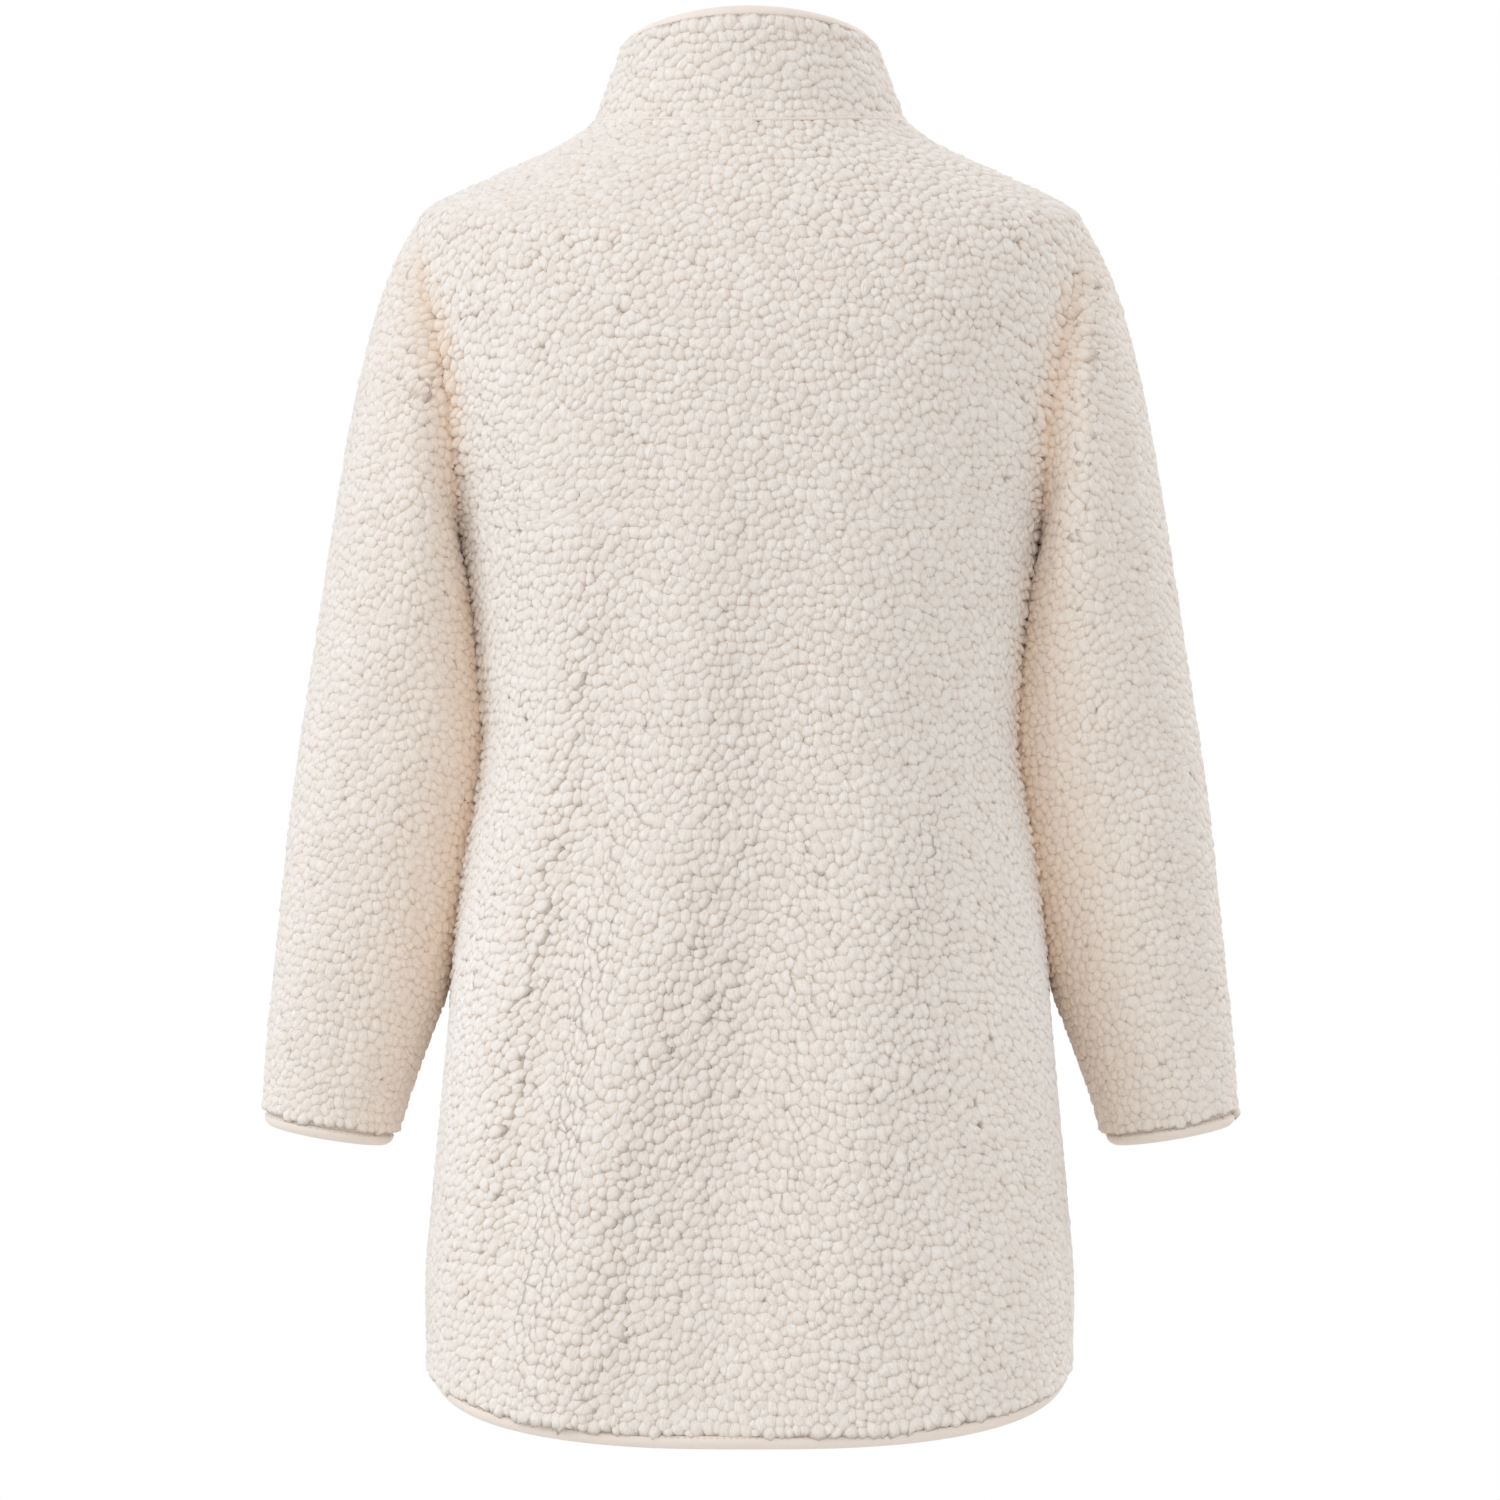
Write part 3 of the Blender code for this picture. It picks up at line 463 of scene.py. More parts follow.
def front_grid(side):
    """A front: from the armhole edge to the zip, +1 for the wearer's left."""
    rows = panel_rows()
    columns = ring_numbers(rows)
    half_gap = SEAM_GAP / 2 / columns[DEPTH_FRONT]
    edge = -armhole_turn(rows, DEPTH_FRONT, ARMHOLE_DEPTH_FRONT) - half_gap
    zip_edge = -np.arccos(ZIP_OPENING / 2 / columns[HALF_WIDTH])
    if side < 0:
        edge, zip_edge = -math.pi - edge, -math.pi - zip_edge
    return panel_grid(rows, edge, zip_edge, PANEL_COLUMNS // 2,
                      FRONT_FOLDS | FRONT_SMALL_FOLDS, (-1,))


def ring_turns(z_side, columns):
    """Angles from one edge of the zip round the back to the other."""
    edge = np.arccos(ZIP_OPENING / 2 / ring_numbers(z_side)[HALF_WIDTH])[:, None]
    share = np.linspace(0, 1, columns + 1)[None, :]
    return -edge * (1 - share) + (math.pi + edge) * share


def collar_grid():
    """The stand collar, from its bound edge down to the neck seam."""
    rows = within_seams(
        np.linspace(RINGS["collar edge"][0], RINGS["neck seam"][0], COLLAR_ROWS + 1))
    turn = ring_turns(rows, COLLAR_COLUMNS)
    level = np.repeat(rows[:, None], turn.shape[1], axis=1)
    normals = square_at_zip(body_normals(level, turn), ZIP_EDGES)
    return body_point(level, turn), normals


grids = {"back": back_grid(), "front_left": front_grid(+1), "front_right": front_grid(-1),
         "collar": collar_grid()}
print({name: grid[0].shape[:2] for name, grid in grids.items()})

# %% [markdown]
# ## Sleeves
# A sleeve is a tube of slanted ovals that starts on the armhole and ends at the
# cuff. Beside the body it stays a millimetre clear of it, which makes the long
# dark crease between the arm and the back in the photograph. The right sleeve
# is the left one mirrored, with folds of its own.

# %% Sleeve sections and folds
# x and z of the outer line, x and z of the inner line, middle y, half depth
SECTIONS = {
    "armhole":      (0.2000, -0.0600, 0.1760, -0.2550, +0.0015, 0.0605),
    "cap":          (0.2150, -0.0870, 0.1768, -0.2720, +0.0020, 0.0690),
    "upper arm":    (0.2290, -0.1230, 0.1710, -0.2900, +0.0020, 0.0735),
    "bicep":        (0.2430, -0.1790, 0.1665, -0.3130, +0.0010, 0.0735),
    "above elbow":  (0.2555, -0.2500, 0.1620, -0.3480, -0.0010, 0.0690),
    "elbow":        (0.2670, -0.3220, 0.1600, -0.3930, -0.0040, 0.0630),
    "forearm":      (0.2815, -0.4150, 0.1690, -0.4560, -0.0090, 0.0560),
    "low forearm":  (0.2915, -0.5000, 0.1845, -0.5250, -0.0160, 0.0510),
    "wrist":        (0.2995, -0.5700, 0.2050, -0.5840, -0.0240, 0.0460),
    "cuff":         (0.3030, -0.6130, 0.2195, -0.6280, -0.0300, 0.0430),
}
SLEEVE_CLEARANCE = 0.0012    # between a sleeve and the side of the body
SLEEVE_CROWDING = 1.08       # above 1, the rows stand closer near the armhole
CAP_SHARE = 0.35             # the part of the sleeve that bends towards the armhole's curve
ARMHOLE_GAP = 0.0005
SLEEVE_ROWS = 76
SLEEVE_COLUMNS = 72
ARM_RADIUS = 0.057           # turns a fold's angle into a distance

# angle and share of the length at the top, the same at the bottom, width, height;
# the angle is 0 outside, 90 at the back, 180 inside and 270 at the front
SLEEVE_FOLDS_LEFT = {
    "back valley":      (62.0, 0.12, 74.0, 0.52, 0.013, -0.0030),
    "elbow dimple":     (100.0, 0.52, 70.0, 0.66, 0.012, -0.0026),
    "front valley":     (292.0, 0.14, 280.0, 0.55, 0.013, -0.0030),
    "front elbow fold": (250.0, 0.50, 290.0, 0.60, 0.010, -0.0034),
    "forearm ridge":    (40.0, 0.62, 60.0, 0.92, 0.014, +0.0020),
    "cap drag":         (84.0, 0.06, 52.0, 0.30, 0.008, -0.0010),
    "cuff ripple":      (96.0, 0.74, 88.0, 0.98, 0.008, -0.0011),
    "inner elbow nip":  (300.0, 0.56, 250.0, 0.64, 0.007, -0.0012),
}
SLEEVE_FOLDS_RIGHT = {
    "back valley":      (60.0, 0.08, 70.0, 0.56, 0.012, -0.0044),
    "back ridge":       (92.0, 0.12, 96.0, 0.48, 0.012, +0.0026),
    "elbow dimple":     (72.0, 0.58, 92.0, 0.70, 0.012, -0.0030),
    "front valley":     (296.0, 0.12, 284.0, 0.50, 0.013, -0.0032),
    "front elbow fold": (254.0, 0.48, 292.0, 0.58, 0.010, -0.0034),
    "forearm trough":   (52.0, 0.66, 76.0, 0.96, 0.009, -0.0012),
    "inner elbow nip":  (304.0, 0.52, 246.0, 0.62, 0.007, -0.0012),
}


def tube_normals(points):
    """Outward normals of a tube's grid, from its steps down and round."""
    down = np.gradient(points, axis=0)
    around = np.roll(points, -1, axis=1) - np.roll(points, 1, axis=1)
    return unit(np.cross(down, around))


def sleeve_fold_height(shares, angles, folds):
    """Sum of height * sin(pi part) * exp(-distance^2 / 2 width^2) over the folds.

    The part runs from 0 at a fold's top to 1 at its bottom, and the distance is
    the angle to the fold's middle times the arm's radius.
    """
    share = shares[:, None]
    angle = np.degrees(angles)[None, :]
    total = np.zeros((len(shares), len(angles)))
    for angle_top, share_top, angle_low, share_low, width, height in folds.values():
        part = np.clip((share - share_top) / (share_low - share_top), 0, 1)
        middle = angle_top + (angle_low - angle_top) * part
        apart = np.radians((angle - middle + 180) % 360 - 180) * ARM_RADIUS
        total += height * np.sin(math.pi * part) * np.exp(-0.5 * (apart / width) ** 2)
    return total


def sleeve_sections(shares, angles):
    """Ovals: the middle of the outer and inner points, plus cos and sin of the angle."""
    table = [(index, *row) for index, row in enumerate(SECTIONS.values())]
    _, x_out, z_out, x_in, z_in, y_mid, half_depth = (
        smooth_table(table, shares * (len(table) - 1)))
    swing, lean = np.cos(angles)[None, :], np.sin(angles)[None, :]
    x = (x_out + x_in)[:, None] / 2 + (x_out - x_in)[:, None] / 2 * swing
    z = (z_out + z_in)[:, None] / 2 + (z_out - z_in)[:, None] / 2 * swing
    return np.stack([x, y_mid[:, None] + half_depth[:, None] * lean, z], axis=-1)


def armhole_ring():
    """The left armhole from the shoulder down the back and up the front, with normals."""
    rows = ARMHOLE_MIDDLE + ARMHOLE_HALF_HEIGHT * np.cos(
        np.linspace(0, math.pi, SLEEVE_COLUMNS // 2 + 1))
    back_turn = armhole_turn(rows, DEPTH_BACK, ARMHOLE_DEPTH_BACK)
    front_turn = -armhole_turn(rows, DEPTH_FRONT, ARMHOLE_DEPTH_FRONT)
    level = np.concatenate([rows, rows[-2:0:-1]])
    turn = np.concatenate([back_turn, front_turn[-2:0:-1]])
    return body_point(level, turn), body_normals(level, turn)


def body_side(points):
    """Half the body's width at the points' y and z: w (1 - |y / depth|^n)^(1/n)."""
    _, _, _, half_width, depth_back, depth_front, squareness = ring_numbers(points[..., 2])
    depth = np.where(points[..., 1] >= 0, depth_back, depth_front)
    share = np.clip(np.abs(points[..., 1]) / depth, 0, 1) ** squareness
    return half_width * (1 - share) ** (1 / squareness)


def beside_body(points):
    """Push a sleeve's points out to where the body's ring ends, plus a clearance."""
    limit = body_side(points) + SLEEVE_CLEARANCE
    pushed = points.copy()
    pushed[..., 0] = np.where(points[..., 2] < ARMHOLE_BOTTOM,
                              np.maximum(points[..., 0], limit), points[..., 0])
    return pushed


def sleeve_grid(side, folds):
    """Points and normals of a sleeve; its columns wrap round.

    Its top ring lies on the armhole, a small gap inside it. Below, the ovals of
    the table take over as (1 - share / cap share)^2 falls to nothing.
    """
    armhole, body_normal = armhole_ring()
    angles = np.arange(SLEEVE_COLUMNS) * 2 * math.pi / SLEEVE_COLUMNS
    shares = np.linspace(0, 1, SLEEVE_ROWS + 1) ** SLEEVE_CROWDING
    points = sleeve_sections(shares, angles)
    fade = np.clip(1 - shares / CAP_SHARE, 0, 1) ** 2
    points = points + (armhole - points[0])[None] * fade[:, None, None]
    heights = sleeve_fold_height(shares, angles, folds)
    points = beside_body(points + tube_normals(points) * heights[..., None])
    inwards = body_point(np.array([ARMHOLE_MIDDLE]), np.zeros(1)) - armhole
    inwards -= np.sum(inwards * body_normal, axis=-1, keepdims=True) * body_normal
    points[0] = armhole + ARMHOLE_GAP * unit(inwards)
    normals = tube_normals(points)
    dips = np.sum((points[1] - points[0]) * body_normal, axis=-1) < 0
    normals[0] = np.where(dips[:, None], body_normal, normals[0])
    mirror = np.array([side, 1, 1])
    return points * mirror, normals * mirror


grids["sleeve_left"] = sleeve_grid(+1, SLEEVE_FOLDS_LEFT)
grids["sleeve_right"] = sleeve_grid(-1, SLEEVE_FOLDS_RIGHT)
print("sleeve reaches x", grids["sleeve_left"][0][..., 0].max().round(4))

# %% [markdown]
# ## From arrays to pieces
# Every piece is made from arrays: points, and blocks of faces that name points
# by number. The volume that the faces enclose is positive when they point
# outwards, so its sign says whether to turn them round.

# %% Make a piece from arrays
def grid_faces(rows, columns, wraps_down=False, wraps_round=False):
    """Quads between neighbouring points of a grid that may close on itself."""
    row = np.arange(rows if wraps_down else rows - 1)[:, None]
    column = np.arange(columns if wraps_round else columns - 1)[None, :]
    below, beside = (row + 1) % rows, (column + 1) % columns
    return np.stack([row * columns + column, row * columns + beside,
                     below * columns + beside, below * columns + column],
                    axis=-1).reshape(-1, 4)


def signed_volume(points, blocks):
    """A sixth of the sum of p0 . (p1 x p2) over the faces' triangles."""
    total = 0.0
    for block in blocks:
        for step in range(1, block.shape[1] - 1):
            first, second, third = (points[block[:, at]] for at in (0, step, step + 1))
            total += np.sum(first * np.cross(second, third))
    return total / 6


made = {}                    # triangles of each piece


def new_piece(name, points, blocks, material, body="jacket", attributes=None):
    """A smooth-shaded object at the origin, its place in its mesh, riding on a body."""
    points = points.reshape(-1, 3)
    if signed_volume(points, blocks) < 0:
        blocks = [block[:, ::-1] for block in blocks]
    sizes = np.concatenate([np.full(len(block), block.shape[1]) for block in blocks])
    mesh = bpy.data.meshes.new(name)
    mesh.vertices.add(len(points))
    mesh.vertices.foreach_set("co", points.astype(np.float32).ravel())
    mesh.loops.add(int(sizes.sum()))
    mesh.loops.foreach_set("vertex_index", np.concatenate([b.ravel() for b in blocks]))
    mesh.polygons.add(len(sizes))
    mesh.polygons.foreach_set("loop_start", np.cumsum(sizes) - sizes)
    mesh.update(calc_edges=True)
    mesh.validate()
    mesh.shade_smooth()
    for key, values in (attributes or {}).items():
        kind, field = ("FLOAT_VECTOR", "vector") if values.ndim > 1 else ("FLOAT", "value")
        layer = mesh.attributes.new(key, kind, "POINT")
        layer.data.foreach_set(field, values.astype(np.float32).ravel())
    mesh.materials.append(material)
    piece = bpy.data.objects.new(name, mesh)
    bpy.context.collection.objects.link(piece)
    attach(piece, body)
    triangles = int(np.sum(sizes - 2))
    made[name] = triangles
    print(f"{name}: {triangles} triangles")
    return piece


# %% [markdown]
# ## Sherpa pile
# The fibres are fine matt polyester that has rolled into curls. What the eye
# sees is a pale cream on the rounded tops, a warmer beige in the thin lines
# between curls, a faint swirl of strands on every curl, and a tan in the fold
# beside an arm. The beige and the tan are painted shade, and the body's edge
# beside an arm is painted nearly white as painted light. An image wrapped on the
# cloth could show all that, but it would lie flat. Here each curl carries
# numbers instead: how high a point is on it, how strong the painted shade of the
# fold is there, how strong the painted light on the body's edge is, a tone of
# its own at random and its place along the curl. The colour follows from them.

# %% Pile material
CURL_TOP = "#F3EEE9"
CURL_TOP_WARM = "#EFE8E1"    # curls differ between these two
# painted shade in the crevices between curls and in the lines between strands
PAINTED_CREVICE_SHADE = "#E9DCD0"
# painted shade: a tan in the fold beside an arm
PAINTED_FOLD_SHADE = "#F4D9BF"
# painted light: nearly white on the body's edge beside an arm
PAINTED_EDGE_LIGHT = "#FFFEFC"
STRAND = 0.0011              # width of a rolled strand; single fibres are finer
CURL_SHOULDER = 0.86         # height of a curl's shoulder, and its tone between 0 and 1


def sherpa_pile():
    """Tumbled polyester pile: soft, matt, with a bloom where it turns away."""
    material, tree, shader = start_material(
        "tumbled_polyester_sherpa_pile", CURL_TOP, Roughness=1.0,
        Sheen_Weight=0.6, Sheen_Roughness=0.5, Specular_IOR_Level=0.15)
    # each curl's numbers; two of them set the painted shade of the arm's fold and the painted
    # light on the body's edge
    height, shade, fold, edge, place = (
        add_node(tree, "ShaderNodeAttribute", attribute_name=name)
        for name in ("pile_height", "curl_shade", "painted_fold_shade", "painted_edge_light", "curl_place"))
    # strands: fine threads, drawn out along the curl and a little twisted
    strands = add_node(tree, "ShaderNodeTexNoise",
                       {"Scale": 0.5 / STRAND, "Detail": 1.0, "Distortion": 1.6},
                       {"Vector": place.outputs["Vector"]})
    # the painted crevice shade ends where the shoulder ring of a curl begins
    lift = add_node(tree, "ShaderNodeMapRange",
                    {"From Min": 0.40, "From Max": CURL_SHOULDER},
                    {"Value": height.outputs["Fac"]}, interpolation_type="SMOOTHSTEP")
    # darker lines between strands: painted shade in their grooves
    between = add_node(tree, "ShaderNodeMapRange",
                       {"From Min": 0.50, "From Max": 0.66, "To Min": 1.0, "To Max": 0.5},
                       {"Value": strands.outputs["Fac"]})
    pale = add_node(tree, "ShaderNodeMath", None,
                    {0: lift.outputs["Result"], 1: between.outputs["Result"]},
                    operation="MULTIPLY")
    top = add_node(tree, "ShaderNodeMix", {6: linear(CURL_TOP), 7: linear(CURL_TOP_WARM)},
                   {"Factor": shade.outputs["Fac"]}, data_type="RGBA")
    # painted light: the body's edge beside an arm turns nearly white
    bright = add_node(tree, "ShaderNodeMix", {7: linear(PAINTED_EDGE_LIGHT)},
                      {"Factor": edge.outputs["Fac"], 6: top.outputs[2]}, data_type="RGBA")
    # painted shade: the crevices between curls and the lines between strands turn beige
    curl = add_node(tree, "ShaderNodeMix", {6: linear(PAINTED_CREVICE_SHADE)},
                    {"Factor": pale.outputs["Value"], 7: bright.outputs[2]}, data_type="RGBA")
    # painted shade: the tan in the fold beside an arm
    colour = add_node(tree, "ShaderNodeMix", {7: linear(PAINTED_FOLD_SHADE)},
                      {"Factor": fold.outputs["Fac"], 6: curl.outputs[2]}, data_type="RGBA")
    tree.links.new(colour.outputs[2], shader.inputs["Base Color"])
    bump = add_node(tree, "ShaderNodeBump", {"Strength": 0.8, "Distance": 0.0010},
                    {"Height": strands.outputs["Fac"]})
    tree.links.new(bump.outputs["Normal"], shader.inputs["Normal"])
    return material


PILE = sherpa_pile()
print(PILE.name)

# %% [markdown]
# ## Textiles without pile
# The backing is a plain knit, the bindings are jersey, and thread and zip tapes
# are polyester too. All of them are a colour of two close tones with the fine
# relief of their threads. Modelling each thread would take millions of faces, so
# a texture gives the relief, with its scale worked out from the threads' spacing.

# %% Knitted backing material
WALE = 0.0011                # width of one knitted column


def textile(name, colour, tones, relief, textures, **shader_values):
    """A material of threads, from textures that are read at each point's place.

    Each texture is a kind of node, the output to read, its values and its
    settings. The first one gives the relief, by the bump's strength and depth,
    and the last one mixes the two tones.
    """
    material, tree, shader = start_material(name, colour, **shader_values)
    place = add_node(tree, "ShaderNodeTexCoord")
    read = [add_node(tree, kind, values, {"Vector": place.outputs["Object"]}, **settings)
            .outputs[output] for kind, output, values, settings in textures]
    mixed = add_node(tree, "ShaderNodeMix", {6: linear(tones[0]), 7: linear(tones[1])},
                     {"Factor": read[-1]}, data_type="RGBA")
    tree.links.new(mixed.outputs[2], shader.inputs["Base Color"])
    bump = add_node(tree, "ShaderNodeBump", {"Strength": relief[0], "Distance": relief[1]},
                    {"Height": read[0]})
    tree.links.new(bump.outputs["Normal"], shader.inputs["Normal"])
    return material


# plain polyester knit: flat, matt, with fine upright wales of small loops
BACKING = textile(
    "knitted_polyester_backing", "#E2D6CA", ("#D3C4B5", "#E6DBD0"), (0.4, 0.0003),
    [("ShaderNodeTexVoronoi", "Distance", {"Scale": 1 / WALE}, {}),
     ("ShaderNodeTexNoise", "Fac", {"Scale": 60.0, "Detail": 4.0}, {})],
    Roughness=0.9, Sheen_Weight=0.1, Specular_IOR_Level=0.25)
print(BACKING.name)

# %% [markdown]
# ## The cloth
# Under the pile lies the backing, a wall a few millimetres thick with an outer
# and an inner face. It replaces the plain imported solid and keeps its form. Its
# outer face lies below the pile's tips, and its inner face is what one sees on
# looking into the neck or under the hem.

# %% Cloth walls
PILE_DEPTH = 0.0026          # from the tips of the curls to the backing
WALL_SLACK = 0.0001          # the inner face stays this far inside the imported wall


def closed_wall(outer, inner, wraps):
    """Points and faces of a wall: down the outer face and up the inner one, as a loop."""
    rows, columns = outer.shape[:2]
    loop = np.concatenate([outer, inner[::-1]])
    blocks = [grid_faces(2 * rows, columns, True, wraps)]
    if not wraps:
        row = np.arange(rows - 1)
        across = 2 * rows - 1 - row
        cap = np.stack([row, row + 1, across - 1, across], axis=-1) * columns
        blocks += [cap, cap[:, ::-1] + columns - 1]
    return loop.reshape(-1, 3), blocks


def cloth_wall(node):
    """The backing of one sewn piece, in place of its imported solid."""
    points, normals = grids[node]
    outer = points - PILE_DEPTH * normals
    inner = points - (WALL - WALL_SLACK) * normals
    wall, blocks = closed_wall(outer, inner, node.startswith("sleeve"))
    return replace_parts(new_piece(f"{node}_cloth", wall, blocks, BACKING), node)


cloth = {node: cloth_wall(node) for node in grids}

# %% [markdown]
# ## Curls
# Fur can be drawn as hair strands, as a bumpy surface or as small shapes. Sherpa
# has no loose strands but rounded clumps that press against each other, so each
# clump is a small closed dome of a few faces. Scattered at random, domes would
# pile up here and leave holes there. Real curls share the room, so the places
# are spread evenly, pushed apart until they are settled, and then each dome is
# cut to the room that its neighbours leave it. That leaves an irregular net of
# thin lines between them, as in the photograph.

# %% Read a grid or a line between its points
def sample(grid, row, column):
    """Bilinear reading: the four corners weighted by how near each one is."""
    rows, columns = grid.shape[:2]
    top = np.clip(np.floor(row).astype(int), 0, rows - 2)
    left = np.clip(np.floor(column).astype(int), 0, columns - 2)
    down, right = (row - top)[..., None], (column - left)[..., None]
    upper = grid[top, left] * (1 - right) + grid[top, left + 1] * right
    lower = grid[top + 1, left] * (1 - right) + grid[top + 1, left + 1] * right
    return upper * (1 - down) + lower * down


def distances(line):
    """How far each point of a line lies from its start, along the line."""
    steps = np.linalg.norm(np.diff(line, axis=0), axis=-1)
    return np.concatenate([[0], np.cumsum(steps)])


def read_line(values, run, along):
    """Values of a line's points, read at other distances along it."""
    return np.stack([np.interp(along, run, column) for column in values.T], axis=-1)


def even_strips(points, strip):
    """Row numbers that cut a grid into strips of about the same height."""
    steps = np.linalg.norm(np.diff(points, axis=0), axis=-1).mean(axis=1)
    run = np.concatenate([[0], np.cumsum(steps)])
    count = max(2, round(run[-1] / strip))
    return np.interp(np.linspace(0, run[-1], count + 1), run, np.arange(len(run)))


# %% [markdown]
# ### Spread the curls
# Curls that are scattered at random leave bare patches. Here the cloth's area is
# shared out instead, strip by strip, with one curl for each share. On the real
# jacket the pile has been combed: it runs away from the centre back and round
# the arms, so each curl also gets its own directions across, down and out.

# %% Spread the curls evenly over a grid
CURL_PITCH = 0.0067          # mean distance between neighbouring curls
CURL_AREA = CURL_PITCH ** 2 * math.sqrt(3) / 2
CURL_SIZES = (0.72, 1.26)    # smallest and largest curl, as shares of the mean


def spread(points, stretch, seed):
    """Row and column numbers of places, one for each share of the area.

    The area is added up along strips as high as the curls are apart. A curl goes
    where the sum passes each next share, and is then moved a little at random.
    """
    chance = np.random.default_rng(seed)
    cuts = even_strips(points, CURL_PITCH * math.sqrt(3 * stretch) / 2)
    columns = points.shape[1] - 1
    lines = sample(points, *np.meshgrid(cuts, np.arange(columns + 1), indexing="ij"))
    across = lines[:-1, 1:] - lines[:-1, :-1]
    down = lines[1:, :-1] - lines[:-1, :-1]
    area = np.linalg.norm(np.cross(across, down), axis=-1).ravel()
    reached = np.concatenate([[0], np.cumsum(area)])
    count = int(reached[-1] / CURL_AREA)
    wanted = (np.arange(count) + 0.5 + chance.uniform(-0.5, 0.5, count)) * CURL_AREA
    place = np.interp(wanted, reached, np.arange(len(reached)))
    strip = np.minimum(place // columns, len(cuts) - 2)
    column = place - strip * columns
    strip = np.clip(strip + 0.5 + chance.uniform(-0.5, 0.5, count), 0, len(cuts) - 1)
    return np.interp(strip, np.arange(len(cuts)), cuts), column


def away_from_centre(places):
    """0 at the middle of the body, 1 as far out as the shoulders."""
    return np.clip(np.abs(places[:, 0]) / RINGS["shoulder"][HALF_WIDTH], 0, 1)


def comb_turn(centre, side, around, column, wraps, comb):
    """How far the pile turns from straight down, in radians.

    On the body it turns away from the centre, by comb degrees at its side and by
    less towards its middle. On a sleeve it parts along the back and the front
    and turns to both sides from there: comb * sin(2 (angle - 90)).
    """
    if wraps:
        angle = column * 2 * math.pi / SLEEVE_COLUMNS
        along = np.sign(np.sum(side * around, axis=-1))
        return math.radians(comb) * along * np.sin(2 * angle - math.pi)
    return (math.radians(comb) * away_from_centre(centre)
            * np.sign(centre[:, 0] * side[:, 0]))


def curl_places(points, normals, wraps, stretch, comb, seed):
    """Where each curl stands: its place, and its directions across, down and out."""
    row, column = spread(points, stretch, seed)
    centre = sample(points, row, column)
    out = unit(sample(normals, row, column))
    down = sample(points, row + 0.5, column) - sample(points, row - 0.5, column)
    down = unit(down - np.sum(down * out, axis=-1, keepdims=True) * out)
    side = np.cross(down, out)
    around = sample(points, row, column + 0.5) - sample(points, row, column - 0.5)
    turn = comb_turn(centre, side, around, column, wraps, comb)[:, None]
    return centre, np.stack([np.cos(turn) * side - np.sin(turn) * down,
                             np.cos(turn) * down + np.sin(turn) * side, out], axis=1)


# %% [markdown]
# ### Neighbours
# To share the room with its neighbours, a curl has to know them. Rows of fixed
# posts stand in for curls outside the edges. A step across a curl counts as
# longer than one along it, and each curl has a length and a direction of its own.
# That is what makes the curls long, and no two of them alike.

# %% Neighbours of a curl
NEIGHBOURS = 14
SLICE = 800                  # places that are measured at once, to keep the arrays small
POST_STEP = 0.8              # curl pitches between two posts
POST_REACH = 2               # curl pitches; farther away a post has no say
LENGTH_SPREAD = 0.28         # how much curls differ in length
SIDE_LENGTH = 0.6            # how much longer they are at the sides of the body


def nearest(places, others):
    """Numbers of the nearest others to each place, one slice of the array at a time.

    |a - b|^2 is |a|^2 - 2 a.b + |b|^2, and |a|^2 doesn't change the order.
    """
    squares = np.sum(others ** 2, axis=1)
    slices = np.array_split(places, len(places) // SLICE + 1)
    return np.concatenate([
        np.argpartition(squares - 2 * part @ others.T, NEIGHBOURS, axis=1)[:, :NEIGHBOURS]
        for part in slices])


def fence(points, reach, wraps):
    """Fixed places outside the edges of a grid, which keep its curls inside.

    reach gives, in curl pitches, how far outside the top, bottom, first and last
    edge they stand: far where the pile spills over a seam, near at the zip.
    Each place comes with the direction that leads out of the grid there.
    """
    edges = [(points[0], points[1]), (points[-1], points[-2])]
    if not wraps:
        edges += [(points[:, 0], points[:, 1]), (points[:, -1], points[:, -2])]
    posts, outward = [], []
    for (edge, inside), far in zip(edges, reach):
        out = unit(edge - inside)
        line = edge + out * far * CURL_PITCH
        run = distances(line)
        along = np.arange(0, run[-1], POST_STEP * CURL_PITCH)
        posts.append(read_line(line, run, along))
        outward.append(read_line(out, run, along))
    return np.concatenate(posts), np.concatenate(outward)


def inside_fence(centres, posts, outward):
    """Which curls are out of the posts' reach, or on the inner side of the nearest one."""
    near = nearest(centres, posts)
    steps = centres[:, None] - posts[near]
    apart = np.linalg.norm(steps, axis=-1)
    first = np.argmin(apart, axis=1)
    row = np.arange(len(centres))
    past = np.einsum("na,na->n", steps[row, first], outward[near[row, first]])
    return (past < 0) | (apart[row, first] > POST_REACH * CURL_PITCH)


def steps_to(centres, axes, others, near):
    """Steps across and down to each neighbour."""
    return np.einsum("nkc,nac->nka", others[near] - centres[:, None], axes[:, :2])


def pair_measures(near, posts, stretch, wander, chance):
    """Matrices that measure the step between two neighbours, one for each pair.

    A curl is e times longer than wide along a direction d near down, so a step v
    measures e (v.n)^2 + (v.d)^2 / e, with n at right angles to d. A pair has the
    mean of its two matrices, and a post measures every direction alike.
    """
    count = len(near)
    turn = chance.normal(0, math.radians(wander), count)
    longer = (stretch * np.exp(chance.normal(0, LENGTH_SPREAD, count)))[:, None, None]
    down = np.stack([np.sin(turn), np.cos(turn)], axis=-1)
    side = np.stack([np.cos(turn), -np.sin(turn)], axis=-1)
    own = (longer * side[:, :, None] * side[:, None]
           + down[:, :, None] * down[:, None] / longer)
    measures = np.concatenate([own, np.broadcast_to(np.eye(2), (posts, 2, 2))])
    return (own[:, None] + measures[near]) / 2


# %% Let the curls settle
SETTLE_ROUNDS = 8
SETTLE_STEP = 0.2            # share of the missing distance that a round makes up
ELBOW_ROOM = 1.10            # how far apart two curls settle, by their mean size
NO_DISTANCE = 1e-6           # metres; keeps a division safe


